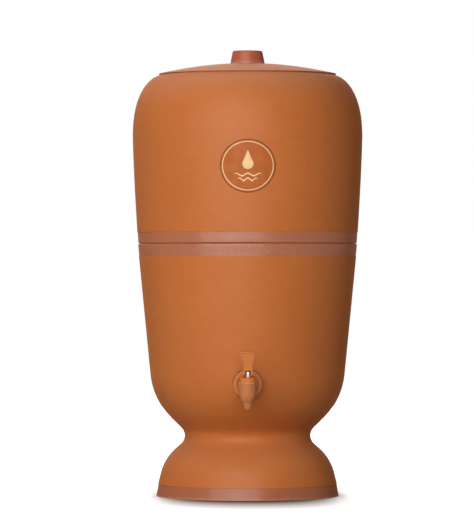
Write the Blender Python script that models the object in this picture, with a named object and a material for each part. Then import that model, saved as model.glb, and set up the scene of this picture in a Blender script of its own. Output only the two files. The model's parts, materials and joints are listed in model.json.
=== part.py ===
"""Two-tank clay water filter: a footed lower tank with a cam-lever tap, an upper tank that
stands in its mouth and holds a ceramic candle with a float valve below it, and a knobbed lid.
Metres, +Z up, the tap on the front (-Y). The ground is z = 0, and the origin is the middle of
the ground box that the tanks and the tap cover together."""

import math

import bmesh
import bpy
from mathutils import Matrix, Vector

# Gaps that keep neighbouring pieces apart
SEAT_GAP = 0.0003
SHANK_CLEARANCE = 0.0005
SPIGOT_CLEARANCE = 0.0015
LID_CLEARANCE = 0.0015

# Fineness of the facets
VESSEL_SIDES = 36
LID_SIDES = 36
ROUND_SIDES = 18
PIN_SIDES = 12
SEAT_SIDES = 28
NUT_SIDES = 6
VESSEL_SAG = 0.0003
SMALL_SAG = 0.00012
MERGE_DISTANCE = 0.000001
FILLET_SHARE = 0.49
SHARP_ANGLE = math.radians(38)
CUT_MARGIN = 0.002

# Small edges on moulded and rubber pieces
RING_EDGE = 0.0004
MOULD_EDGE = 0.0008

# Clay, in both tanks
WALL = 0.0090
FLOOR = 0.0110
FLOOR_FILLET = 0.0080
EDGE_ROUND = 0.0015
HIDDEN_EDGE = 0.0008

# Burnished bands, a little below the clay around them
BAND_STEP = 0.0004
BASE_BAND = 0.0120
LOWER_BAND = 0.0140
UPPER_BAND = 0.0127

# Lower tank: the corners of its outline and the curves that round them
FOOT_RADIUS = 0.1043
FLARE_RADIUS = 0.0956
FLARE_HEIGHT = 0.0421
FLARE_CURVE = 0.0550
WAIST_RADIUS = 0.0659
WAIST_HEIGHT = 0.0682
WAIST_CURVE = 0.0125
BELLY_RADIUS = 0.1078
BELLY_HEIGHT = 0.1096
BELLY_CURVE = 0.0855
RIM_RADIUS = 0.1252
LOWER_HEIGHT = 0.2870
LOWER_FLOOR_HEIGHT = 0.0800

# Upper tank, heights from its own underside
UPPER_BASE_RADIUS = 0.1248
GIRTH_RADIUS = 0.1308
GIRTH_HEIGHT = 0.1204
FLANK_POWER = 1.3
FLANK_STEPS = 3
SHOULDER_RISE = 0.0720
SHOULDER_DEPTH = 0.0364
SHOULDER_POWER = 2.36
SHOULDER_STEPS = 7
LIP_RADIUS = 0.1000
MOUTH_RADIUS = 0.0880
SPIGOT_DEPTH = 0.0080
SPIGOT_WIDTH = 0.0100
STEM_HOLE_CLEARANCE = 0.0007

# Lid and knob
LID_RADIUS = 0.1009
LID_EDGE = 0.0013
LID_RISE = 0.0112
LID_CURVE_POWER = 1.6
LID_CURVE_STEPS = 6
LID_THICKNESS = 0.0065
LID_LIP_DEPTH = 0.0070
LID_LIP_WIDTH = 0.0070
KNOB_BASE_RADIUS = 0.0197
KNOB_TOP_RADIUS = 0.0167
KNOB_HEIGHT = 0.0146
KNOB_ROUND = 0.0015
KNOB_SEAT_MARGIN = 0.0005
LID_SCREW_RADIUS = 0.0020
LID_SCREW_HEAD_RADIUS = 0.0045
LID_SCREW_HEAD_HEIGHT = 0.0028
LID_SCREW_BITE = 0.0080
LID_WASHER_RADIUS = 0.0070
LID_WASHER_THICKNESS = 0.0012

# Filter candle
CANDLE_RADIUS = 0.0275
CANDLE_HEIGHT = 0.0920
CANDLE_DOME = 0.0200
CANDLE_WALL = 0.0070
CANDLE_BASE_RADIUS = 0.0295
CANDLE_BASE_HEIGHT = 0.0130
CANDLE_BASE_FLOOR = 0.0060
CANDLE_HUB_RADIUS = 0.0150
CANDLE_HUB_RISE = 0.0035
CANDLE_STEM_RADIUS = 0.0060
CANDLE_STEM_BORE = 0.0022
CANDLE_GASKET_RADIUS = 0.0140
CANDLE_GASKET_THICKNESS = 0.0030
CANDLE_WASHER_RADIUS = 0.0115
CANDLE_WASHER_THICKNESS = 0.0025
WING_NUT_RADIUS = 0.0090
WING_NUT_HEIGHT = 0.0080
WING_SPAN = 0.0200
WING_THICKNESS = 0.0030
WING_RISE = 0.0065
WING_ROUND = 0.0022

# Float valve on the candle's stem
VALVE_RADIUS = 0.0098
VALVE_BITE = 0.0100
VALVE_TO_NUT = 0.0020
VALVE_BLOCK = 0.0050
NOZZLE_RADIUS = 0.0032
NOZZLE_LENGTH = 0.0030
NOZZLE_BORE = 0.0015
EAR_THICKNESS = 0.0025
EAR_RADIUS = 0.0035
EAR_ROOT = 0.0040
PIVOT_OFFSET = 0.0110
PIVOT_PIN_RADIUS = 0.0012
ARM_WIDTH = 0.0080
ARM_THICKNESS = 0.0040
ARM_BOSS_RADIUS = 0.0033
ARM_END_ROUND = 0.0015
PAD_RADIUS = 0.0033
PAD_RECESS = 0.0015
PAD_PROUD = 0.0006
FLOAT_DISTANCE = 0.0600
FLOAT_RADIUS = 0.0180
FLOAT_HEIGHT = 0.0260
FLOAT_ROUND = 0.0060
FLOAT_PEG_RADIUS = 0.0024
FLOAT_PEG_LENGTH = 0.0080
FLOAT_DROOP = math.radians(28)

# Tap: the place on the wall, then pieces along the shank, from the wall outwards
TAP_HEIGHT = 0.1308
TAP_SEAT_RADIUS = 0.0178
TAP_SEAT_MARGIN = 0.0002
TAP_INNER_SEAT_RADIUS = 0.0150
TAP_INNER_SEAT_DEPTH = 0.0003
SHANK_RADIUS = 0.0080
SHANK_BORE = 0.0038
SHANK_TAIL = 0.0020
GASKET_RADIUS = 0.0155
GASKET_THICKNESS = 0.0020
FLANGE_RADIUS = 0.0165
FLANGE_THICKNESS = 0.0050
FLANGE_ROUND = 0.0022
FLANGE_RIM = 0.0042
FLANGE_DISH = 0.0012
NECK_ROOT_RADIUS = 0.0095
NECK_TIP_RADIUS = 0.0070
INNER_WASHER_RADIUS = 0.0135
INNER_WASHER_THICKNESS = 0.0030
NUT_FLATS = 0.0240
NUT_HEIGHT = 0.0070

# Tap: the upright body, heights from the shank's axis
SPOUT_DISTANCE = 0.0360
TAP_TOP = 0.0097
TAP_TOP_RADIUS = 0.0097
TAP_BELLY = -0.0040
TAP_BELLY_RADIUS = 0.0091
TAP_BOTTOM = -0.0107
TAP_BOTTOM_RADIUS = 0.0070
SPOUT_ROOT_RADIUS = 0.0058
SPOUT_TIP = -0.0196
SPOUT_TIP_RADIUS = 0.0038
SPOUT_BORE = 0.0024
CHAMBER_RADIUS = 0.0054
CHAMBER_BOTTOM = -0.0055
BONNET_RADIUS = 0.0092
BONNET_HEIGHT = 0.0064
BONNET_ROUND = 0.0012
BONNET_PLUG = 0.0033

# Tap: stem, seat cup and cam lever
TAP_STEM_RADIUS = 0.0033
TAP_STEM_FOOT = -0.0017
TAP_BARB_RADIUS = 0.0019
TAP_BARB_LENGTH = 0.0030
CUP_RADIUS = 0.0046
STEM_LIFT = 0.0030
LEVER_SWING = math.radians(75)
LEVER_PIN_RISE = 0.0044
LEVER_PIN_RADIUS = 0.0010
CHEEK_THICKNESS = 0.0017
SLOT_HEAD_GAP = 0.0004
CAM_TOP = 0.0065
CAM_STEPS = 6
HEEL_STEPS = 3
PADDLE_LENGTH = 0.0242
PADDLE_NECK_HALF = 0.0042
PADDLE_TOP_HALF = 0.0088
PADDLE_FRONT = 0.0024
PADDLE_BACK = 0.0016
PADDLE_TOP_FRONT = 0.0018
PADDLE_TOP_BACK = 0.0012
PADDLE_CORNER = 0.0020
PADDLE_EDGE = 0.0005
PANEL_BORDER = 0.0016
PANEL_DEPTH = 0.0004

# Directions in which a flat outline is drawn out: its two axes, then the drawn direction
ALONG_X = Matrix(((0, 0, 1), (1, 0, 0), (0, 1, 0))).to_4x4()
ALONG_Y = Matrix(((1, 0, 0), (0, 0, 1), (0, 1, 0))).to_4x4()
ALONG_Z = Matrix.Identity(4)


# Outlines

def facets(turn, radius, sag):
    """How many straight facets keep an arc within sag of true."""
    return math.ceil(turn / (2 * math.acos(max(0.0, 1 - sag / radius))))


def rounded(corners, sag):
    """Turn (across, up, fillet) corners into points, each fillet an arc within sag of true."""
    points = []
    count = len(corners)
    for index, (across, up, fillet) in enumerate(corners):
        here = Vector((across, up))
        back = Vector(corners[index - 1][:2]) - here
        ahead = Vector(corners[(index + 1) % count][:2]) - here
        if fillet == 0 or back.length == 0 or ahead.length == 0:
            points.append((across, up))
            continue
        opening = back.angle(ahead)
        room = FILLET_SHARE * min(back.length, ahead.length)
        tangent = min(fillet / math.tan(opening / 2), room)
        radius = tangent * math.tan(opening / 2)
        towards = (back.normalized() + ahead.normalized()).normalized()
        middle = here + towards * math.hypot(radius, tangent)
        start = here + back.normalized() * tangent - middle
        turn = start.angle_signed(here + ahead.normalized() * tangent - middle)
        steps = facets(abs(turn), radius, sag)
        for step in range(steps + 1):
            angle = -turn * step / steps
            points.append((middle.x + start.x * math.cos(angle) - start.y * math.sin(angle),
                           middle.y + start.x * math.sin(angle) + start.y * math.cos(angle)))
    return points


def inset(points, depth):
    """Move a rising outline towards the axis by depth, square to its own run."""
    moved = []
    for index, (radius, height) in enumerate(points):
        before = points[max(index - 1, 0)]
        after = points[min(index + 1, len(points) - 1)]
        run = Vector((after[0] - before[0], after[1] - before[1])).normalized()
        moved.append((radius - run.y * depth, height + run.x * depth))
    return moved


def radius_at(points, height):
    """Radius of a rising outline at a height."""
    for (low_radius, low), (high_radius, high) in zip(points, points[1:]):
        if low <= height <= high and high > low:
            return low_radius + (high_radius - low_radius) * (height - low) / (high - low)
    return points[0][0] if height < points[0][1] else points[-1][0]


def between(points, low, high):
    """The stretch of a rising outline between two heights, with a point at each."""
    middle = [point for point in points if low + MERGE_DISTANCE < point[1] < high - MERGE_DISTANCE]
    return [(radius_at(points, low), low)] + middle + [(radius_at(points, high), high)]


def with_band(points, low, high):
    """Sink the stretch between two heights by the band's step."""
    sunk = [(radius - BAND_STEP, height) for radius, height in between(points, low, high)]
    below = between(points, points[0][1], low) if low > points[0][1] else []
    above = between(points, high, points[-1][1]) if high < points[-1][1] else []
    return below + sunk + above


def plain(points):
    """The same points as corners without a fillet."""
    return [(across, up, 0) for across, up in points]


def lower_outside():
    """Outer outline of the lower tank, foot to rim: flared foot, waist and belly."""
    rim = (RIM_RADIUS, LOWER_HEIGHT, 0)
    foot = (FOOT_RADIUS, 0, 0)
    flare = (FLARE_RADIUS, FLARE_HEIGHT, FLARE_CURVE)
    waist = (WAIST_RADIUS, WAIST_HEIGHT, WAIST_CURVE)
    belly = (BELLY_RADIUS, BELLY_HEIGHT, BELLY_CURVE)
    return rounded([foot, flare, waist, belly, rim], VESSEL_SAG)


def lower_outline():
    """Whole section of the lower tank: wall, chamber floor and the hollow foot below it."""
    outside = with_band(lower_outside(), 0, BASE_BAND)
    outside = with_band(outside, LOWER_HEIGHT - LOWER_BAND, LOWER_HEIGHT)
    inside = inset(lower_outside(), WALL)
    ceiling = LOWER_FLOOR_HEIGHT - FLOOR
    chamber = between(inside, LOWER_FLOOR_HEIGHT, LOWER_HEIGHT)
    hollow = between(inside, 0, ceiling)
    corners = plain(outside[:-1])
    corners += [(*outside[-1], EDGE_ROUND), (*chamber[-1], HIDDEN_EDGE)]
    corners += plain(reversed(chamber[1:-1]))
    corners += [(*chamber[0], FLOOR_FILLET), (0, LOWER_FLOOR_HEIGHT, 0), (0, ceiling, 0)]
    corners += [(*hollow[-1], FLOOR_FILLET)]
    corners += plain(reversed(hollow[:-1]))
    return rounded(corners, VESSEL_SAG)


def lip_height():
    """Height of the upper tank's lip over its underside."""
    across = 1 - (GIRTH_RADIUS - LIP_RADIUS) / SHOULDER_DEPTH
    return GIRTH_HEIGHT + SHOULDER_RISE * (1 - across ** 2) ** (1 / SHOULDER_POWER)


def upper_outside():
    """Outer outline of the upper tank: a slow power curve to the girth, then a shoulder
    on a superellipse up to the lip."""
    points = []
    for step in range(FLANK_STEPS):
        share = step / FLANK_STEPS
        bulge = (GIRTH_RADIUS - UPPER_BASE_RADIUS) * (1 - share) ** FLANK_POWER
        points.append((GIRTH_RADIUS - bulge, GIRTH_HEIGHT * share))
    last = math.acos(1 - (GIRTH_RADIUS - LIP_RADIUS) / SHOULDER_DEPTH)
    for step in range(SHOULDER_STEPS + 1):
        angle = last * step / SHOULDER_STEPS
        rise = math.sin(angle) ** (2 / SHOULDER_POWER)
        points.append((GIRTH_RADIUS - SHOULDER_DEPTH * (1 - math.cos(angle)),
                       GIRTH_HEIGHT + SHOULDER_RISE * rise))
    return points


def upper_outline():
    """Whole section of the upper tank, with the spigot ring that centres it in the lower
    tank's mouth and a hole in the floor for the candle's stem."""
    spigot = RIM_RADIUS - WALL - SPIGOT_CLEARANCE
    hole = CANDLE_STEM_RADIUS + STEM_HOLE_CLEARANCE
    top = lip_height()
    outside = with_band(upper_outside(), 0, UPPER_BAND)
    inside = between(inset(upper_outside(), WALL), FLOOR, top - WALL)
    corners = [(*outside[0], EDGE_ROUND)] + plain(outside[1:-1])
    corners += [(*outside[-1], EDGE_ROUND), (MOUTH_RADIUS, top, EDGE_ROUND)]
    corners += [(MOUTH_RADIUS, top - WALL, HIDDEN_EDGE)]
    corners += plain(reversed(inside[1:]))
    corners += [(*inside[0], FLOOR_FILLET), (hole, FLOOR, 0), (hole, 0, 0)]
    corners += [(spigot - SPIGOT_WIDTH, 0, 0), (spigot - SPIGOT_WIDTH, -SPIGOT_DEPTH, HIDDEN_EDGE)]
    corners += [(spigot, -SPIGOT_DEPTH, HIDDEN_EDGE), (spigot, 0, 0)]
    return rounded(corners, VESSEL_SAG)


def lid_top(radius):
    """Height of the lid's top over its rim's underside: flat under the knob, then falling."""
    seat = KNOB_BASE_RADIUS + KNOB_SEAT_MARGIN
    share = max(0.0, (radius - seat) / (LID_RADIUS - seat))
    return LID_EDGE + LID_RISE * (1 - share ** LID_CURVE_POWER)


def lid_outline():
    """Section of the lid: a thin dome with a sharp rim and a lip that hangs in the mouth."""
    hole = LID_SCREW_RADIUS + SEAT_GAP
    seat = KNOB_BASE_RADIUS + KNOB_SEAT_MARGIN
    lip = MOUTH_RADIUS - LID_CLEARANCE
    lip_inside = lip - LID_LIP_WIDTH
    spread = [step / LID_CURVE_STEPS for step in range(LID_CURVE_STEPS + 1)]
    over = [seat + (LID_RADIUS - seat) * share for share in spread]
    below = [seat + (lip_inside - seat) * share for share in reversed(spread)]
    top = [(radius, lid_top(radius)) for radius in over]
    under = [(radius, lid_top(radius) - LID_THICKNESS) for radius in below]
    corners = [(hole, lid_top(0), 0)] + plain(top)
    corners += [(LID_RADIUS, 0, LID_EDGE / 2), (lip, 0, 0)]
    corners += [(lip, -LID_LIP_DEPTH, HIDDEN_EDGE), (lip_inside, -LID_LIP_DEPTH, HIDDEN_EDGE)]
    corners += plain(under) + [(hole, lid_top(0) - LID_THICKNESS, 0)]
    return rounded(corners, VESSEL_SAG)


def dome(radius, foot, top, rise, sag):
    """Section of a round-topped cylinder from its foot to its pole."""
    points = [(0, foot), (radius, foot)]
    steps = facets(math.pi / 2, radius, sag)
    for step in range(steps):
        angle = math.pi / 2 * step / steps
        points.append((radius * math.cos(angle), top - rise + rise * math.sin(angle)))
    return points + [(0, top)]


def cam_outline():
    """Side view (y, z) of the lever's foot about its pin. The sole stands off the bonnet by
    the same gap at every angle: its distance from the pin grows in step with the turn, which
    makes the sole an involute, and the flat behind it holds the lever upright. The foot's
    top ends inside the paddle."""
    drop = LEVER_PIN_RISE - SEAT_GAP
    climb = STEM_LIFT / LEVER_SWING
    sole = []
    for step in range(CAM_STEPS + 1):
        turn = LEVER_SWING * step / CAM_STEPS
        reach = drop + climb * turn
        sole.append((-reach * math.sin(turn) - climb * math.cos(turn),
                     -reach * math.cos(turn) + climb * math.sin(turn)))
    heel = []
    for step in range(HEEL_STEPS + 1):
        angle = math.pi / 2 * (1 - step / HEEL_STEPS)
        heel.append((drop * math.sin(angle), -drop * math.cos(angle)))
    return [(-PADDLE_TOP_FRONT, CAM_TOP), (PADDLE_TOP_BACK, CAM_TOP)] + heel + sole


# Pieces from outlines

def srgb(red, green, blue):
    """A display colour, 0 to 255, as scene-linear values."""
    shares = (channel / 255 for channel in (red, green, blue))
    return tuple(((share + 0.055) / 1.055) ** 2.4 for share in shares)


def finish(name, colour, roughness, metallic=0.0):
    """A Principled material."""
    material = bpy.data.materials.new(name)
    material.use_nodes = True
    shader = material.node_tree.nodes["Principled BSDF"]
    shader.inputs["Base Color"].default_value = (*srgb(*colour), 1)
    shader.inputs["Roughness"].default_value = roughness
    shader.inputs["Metallic"].default_value = metallic
    material.diffuse_color = (*srgb(*colour), 1)
    return material


def frame(name, parent=None, location=(0, 0, 0), tilt=0.0):
    """An empty that carries a group of pieces, turned about X by tilt."""
    empty = bpy.data.objects.new(name, None)
    bpy.context.collection.objects.link(empty)
    empty.parent = parent
    empty.location = location
    empty.rotation_euler = (tilt, 0, 0)
    return empty


def piece(name, form, material, parent, location):
    """An object from a bmesh, with smooth faces and crisp edges."""
    bmesh.ops.remove_doubles(form, verts=form.verts, dist=MERGE_DISTANCE)
    bmesh.ops.recalc_face_normals(form, faces=form.faces)
    mesh = bpy.data.meshes.new(name)
    form.to_mesh(mesh)
    form.free()
    mesh.shade_smooth()
    mesh.set_sharp_from_angle(angle=SHARP_ANGLE)
    mesh.materials.append(material)
    made = bpy.data.objects.new(name, mesh)
    bpy.context.collection.objects.link(made)
    made.parent = parent
    made.location = location
    return made


def turned(name, outline, sides, material, parent, location=(0, 0, 0)):
    """Spin a closed (radius, height) outline about the local Z axis."""
    form = bmesh.new()
    section = [form.verts.new((radius, 0, height)) for radius, height in outline]
    edges = []
    for start, end in zip(section, section[1:] + section[:1]):
        if start.co.x > 0 or end.co.x > 0:
            edges.append(form.edges.new((start, end)))
    bmesh.ops.spin(form, geom=section + edges, cent=(0, 0, 0), axis=(0, 0, 1), dvec=(0, 0, 0),
                   angle=2 * math.pi, steps=sides, use_merge=True)
    return piece(name, form, material, parent, location)


def drawn(name, outline, low, high, direction, material, parent, location=(0, 0, 0)):
    """Draw a closed outline out from low to high along a direction."""
    form = bmesh.new()
    face = form.faces.new([form.verts.new(direction @ Vector((*point, low))) for point in outline])
    grown = bmesh.ops.extrude_face_region(form, geom=[face])["geom"]
    verts = [item for item in grown if isinstance(item, bmesh.types.BMVert)]
    bmesh.ops.translate(form, verts=verts, vec=direction @ Vector((0, 0, high - low)))
    return piece(name, form, material, parent, location)


def rod(name, radius, low, high, sides, direction, material, parent, location=(0, 0, 0)):
    """A plain round rod along a direction."""
    circle = []
    for side in range(sides):
        angle = 2 * math.pi * side / sides
        circle.append((radius * math.cos(angle), radius * math.sin(angle)))
    return drawn(name, circle, low, high, direction, material, parent, location)


def ring(name, outer, inner, low, high, edge, material, parent, location=(0, 0, 0)):
    """A flat ring about the local Z axis, with its outer edges rounded."""
    corners = [(inner, low, 0), (outer, low, edge), (outer, high, edge), (inner, high, 0)]
    return turned(name, rounded(corners, SMALL_SAG), ROUND_SIDES, material, parent, location)


def join(target, tool, operation):
    """Add a tool to a piece or take it away, and keep the tool out of the model."""
    change = target.modifiers.new(tool.name, 'BOOLEAN')
    change.operation = operation
    change.solver = 'EXACT'
    change.object = tool
    tool.hide_render = True
    tool.display_type = 'WIRE'


def cut(target, tool):
    join(target, tool, 'DIFFERENCE')


def fuse(target, tool):
    join(target, tool, 'UNION')


# Where the tap stands on the sloping wall

def seat_depth():
    """How far the flat seat is sunk, so that all of its rim meets the rounded wall."""
    return TAP_SEAT_RADIUS ** 2 / (2 * BELLY_CURVE) + TAP_SEAT_MARGIN


def tap_tilt():
    """Slope of the wall across the tap's seat, as an angle from upright."""
    wall = lower_outside()
    lean = radius_at(wall, TAP_HEIGHT + TAP_SEAT_RADIUS) - radius_at(wall, TAP_HEIGHT - TAP_SEAT_RADIUS)
    return math.atan2(lean, 2 * TAP_SEAT_RADIUS)


def seat_centre():
    """(radius, height) of the middle of the tap's seat."""
    tilt = tap_tilt()
    radius = radius_at(lower_outside(), TAP_HEIGHT)
    return radius - seat_depth() * math.cos(tilt), TAP_HEIGHT + seat_depth() * math.sin(tilt)


def grip():
    """Thickness of clay left between the tap's outer and inner seats."""
    return WALL - TAP_INNER_SEAT_DEPTH - seat_depth()


def bonnet_top():
    return TAP_TOP + SEAT_GAP + BONNET_HEIGHT


def tap_reach():
    """Distance from the tanks' axis to the front of the tap."""
    tilt = tap_tilt()
    rim = (SPOUT_DISTANCE + BONNET_RADIUS, bonnet_top() - BONNET_ROUND)
    tip = (SPOUT_DISTANCE + PADDLE_TOP_FRONT, bonnet_top() + LEVER_PIN_RISE + PADDLE_LENGTH)
    ends = [out * math.cos(tilt) + up * math.sin(tilt) for out, up in (rim, tip)]
    return seat_centre()[0] + max(ends)


# The tanks and the lid

def make_lower_vessel(axis, outward, clay):
    """The footed lower tank, bored and spot-faced for the tap on both sides of its wall."""
    vessel = turned("lower_vessel", lower_outline(), VESSEL_SIDES, clay, axis)
    out = SPOUT_DISTANCE
    seat = rod("cut_tap_seat", TAP_SEAT_RADIUS, 0, out, SEAT_SIDES, ALONG_Z, clay, outward)
    inner = rod("cut_tap_inner_seat", TAP_INNER_SEAT_RADIUS, -grip() - out, -grip(), SEAT_SIDES, ALONG_Z,
                clay, outward)
    bore = rod("cut_tap_bore", SHANK_RADIUS + SHANK_CLEARANCE, -out, out, ROUND_SIDES, ALONG_Z, clay, outward)
    for tool in (seat, inner, bore):
        cut(vessel, tool)


def make_lid(parent, clay, plastic, steel):
    """The lid, its knob and the screw and washer that hold the knob from below."""
    turned("lid", lid_outline(), LID_SIDES, clay, parent)
    seat = lid_top(0) + SEAT_GAP
    hole = LID_SCREW_RADIUS + SEAT_GAP
    hole_top = LID_SCREW_BITE + SEAT_GAP
    corners = [(hole, 0, 0), (KNOB_BASE_RADIUS, 0, 0), (KNOB_TOP_RADIUS, KNOB_HEIGHT, KNOB_ROUND)]
    corners += [(0, KNOB_HEIGHT, 0), (0, hole_top, 0), (hole, hole_top, 0)]
    turned("lid_knob", rounded(corners, SMALL_SAG), ROUND_SIDES, plastic, parent, (0, 0, seat))
    under = lid_top(0) - LID_THICKNESS - SEAT_GAP
    washer_low = under - LID_WASHER_THICKNESS
    ring("lid_screw_washer", LID_WASHER_RADIUS, hole, washer_low, under, 0, steel, parent)
    head = washer_low - SEAT_GAP
    shank_top = seat + LID_SCREW_BITE
    corners = [(0, shank_top, 0), (0, head - LID_SCREW_HEAD_HEIGHT, 0)]
    corners += [(LID_SCREW_HEAD_RADIUS, head - LID_SCREW_HEAD_HEIGHT, LID_SCREW_HEAD_HEIGHT / 2)]
    corners += [(LID_SCREW_HEAD_RADIUS, head, 0), (LID_SCREW_RADIUS, head, 0)]
    corners += [(LID_SCREW_RADIUS, shank_top, 0)]
    turned("lid_screw", rounded(corners, SMALL_SAG), PIN_SIDES, steel, parent)


# The candle and its fixings

def nut_underside():
    """Height of the wing nut's lower face, from the upper tank's underside."""
    return -(CANDLE_WASHER_THICKNESS + WING_NUT_HEIGHT + 2 * SEAT_GAP)


def stem_end():
    """Height of the candle stem's lower end."""
    return nut_underside() - VALVE_TO_NUT - VALVE_BITE


def candle_seat():
    """Height of the candle base's underside."""
    return FLOOR + CANDLE_GASKET_THICKNESS + 2 * SEAT_GAP


def make_candle(parent, ceramic, carbon, plastic, rubber):
    """A ceramic dome over a carbon core, in a cup whose stem goes through the tank's floor."""
    seat = candle_seat()
    foot = seat + CANDLE_BASE_FLOOR + SEAT_GAP
    top = foot + CANDLE_HEIGHT
    inside = CANDLE_RADIUS - CANDLE_WALL
    outer = dome(CANDLE_RADIUS, foot, top, CANDLE_DOME, VESSEL_SAG)
    hollow_top = top - CANDLE_WALL
    hollow_rise = CANDLE_DOME * inside / CANDLE_RADIUS
    inner = dome(inside, foot, hollow_top, hollow_rise, VESSEL_SAG)
    turned("candle_shell", outer[1:] + inner[:1:-1] + inner[1:2], ROUND_SIDES, ceramic, parent)
    core = dome(inside - SEAT_GAP, foot, hollow_top - SEAT_GAP, hollow_rise, VESSEL_SAG)
    turned("candle_carbon_core", core, ROUND_SIDES, carbon, parent)
    cup = CANDLE_RADIUS + SEAT_GAP
    rim = seat + CANDLE_BASE_HEIGHT
    shelf = seat + CANDLE_BASE_FLOOR
    corners = [(CANDLE_STEM_BORE, stem_end(), 0), (CANDLE_STEM_RADIUS, stem_end(), RING_EDGE)]
    corners += [(CANDLE_STEM_RADIUS, seat, 0), (CANDLE_HUB_RADIUS, seat, 0)]
    corners += [(CANDLE_BASE_RADIUS, seat + CANDLE_HUB_RISE, EDGE_ROUND), (CANDLE_BASE_RADIUS, rim, 0)]
    corners += [(cup, rim, 0), (cup, shelf, 0), (CANDLE_STEM_BORE, shelf, 0)]
    turned("candle_base", rounded(corners, SMALL_SAG), ROUND_SIDES, plastic, parent)
    hole = CANDLE_STEM_RADIUS + SEAT_GAP
    ring("candle_gasket", CANDLE_GASKET_RADIUS, hole, FLOOR + SEAT_GAP, seat - SEAT_GAP, RING_EDGE,
         rubber, parent)
    washer = -SEAT_GAP - CANDLE_WASHER_THICKNESS
    ring("candle_washer", CANDLE_WASHER_RADIUS, hole, washer, -SEAT_GAP, RING_EDGE, rubber, parent)


def make_wing_nut(parent, plastic):
    """The nut that clamps the candle to the floor, with two finger wings."""
    low = nut_underside()
    hole = CANDLE_STEM_RADIUS + SEAT_GAP
    top = low + WING_NUT_HEIGHT
    nut = ring("candle_wing_nut", WING_NUT_RADIUS, hole, low, top, RING_EDGE, plastic, parent)
    half = WING_THICKNESS / 2
    root = (hole + WING_NUT_RADIUS) / 2
    for side in (-1, 1):
        corners = [(side * root, top - WING_RISE, 0), (side * root, top, 0)]
        corners += [(side * WING_SPAN, top, WING_ROUND), (side * WING_SPAN, top - WING_RISE, WING_ROUND)]
        name = "nut_wing_left" if side < 0 else "nut_wing_right"
        fuse(nut, drawn(name, rounded(corners, SMALL_SAG), -half, half, ALONG_Y, plastic, parent))


# The float valve

def nozzle_tip():
    """Height of the valve's nozzle, from the upper tank's underside."""
    return stem_end() - SEAT_GAP - VALVE_BLOCK - NOZZLE_LENGTH


def pivot_height():
    """Height of the float arm's pin: the pad just meets the nozzle when the arm is level."""
    return nozzle_tip() - SEAT_GAP - PAD_PROUD - ARM_THICKNESS / 2


def make_float_valve(parent, plastic, steel):
    """The valve body on the stem's end, with two ears for the arm's pin."""
    end = stem_end()
    socket = CANDLE_STEM_RADIUS + SEAT_GAP
    block = end - SEAT_GAP - VALVE_BLOCK
    corners = [(socket, end + VALVE_BITE, 0), (socket, end - SEAT_GAP, 0), (NOZZLE_BORE, end - SEAT_GAP, 0)]
    corners += [(NOZZLE_BORE, nozzle_tip(), 0), (NOZZLE_RADIUS, nozzle_tip(), 0), (NOZZLE_RADIUS, block, 0)]
    corners += [(VALVE_RADIUS, block, MOULD_EDGE), (VALVE_RADIUS, end + VALVE_BITE, MOULD_EDGE)]
    body = turned("float_valve_body", rounded(corners, SMALL_SAG), ROUND_SIDES, plastic, parent)
    inner = ARM_WIDTH / 2 + SEAT_GAP
    pivot = pivot_height()
    for side in (-1, 1):
        corners = [(-PIVOT_OFFSET - EAR_RADIUS, block + EAR_ROOT, 0)]
        corners += [(-PIVOT_OFFSET - EAR_RADIUS, pivot - EAR_RADIUS, EAR_RADIUS)]
        corners += [(-PIVOT_OFFSET + EAR_RADIUS, pivot - EAR_RADIUS, EAR_RADIUS)]
        corners += [(-NOZZLE_RADIUS - SEAT_GAP, block + EAR_ROOT, 0)]
        name = "valve_ear_right" if side < 0 else "valve_ear_left"
        faces = sorted((side * inner, side * (inner + EAR_THICKNESS)))
        fuse(body, drawn(name, rounded(corners, SMALL_SAG), *faces, ALONG_Y, plastic, parent))
    place = (-PIVOT_OFFSET, 0, pivot)
    reach = inner + EAR_THICKNESS
    hole = PIVOT_PIN_RADIUS + SEAT_GAP
    cut(body, rod("cut_ear_bore", hole, -2 * reach, 2 * reach, PIN_SIDES, ALONG_Y, plastic, parent, place))
    rod("float_pivot_pin", PIVOT_PIN_RADIUS, -reach, reach, PIN_SIDES, ALONG_Y, steel, parent, place)


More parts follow.
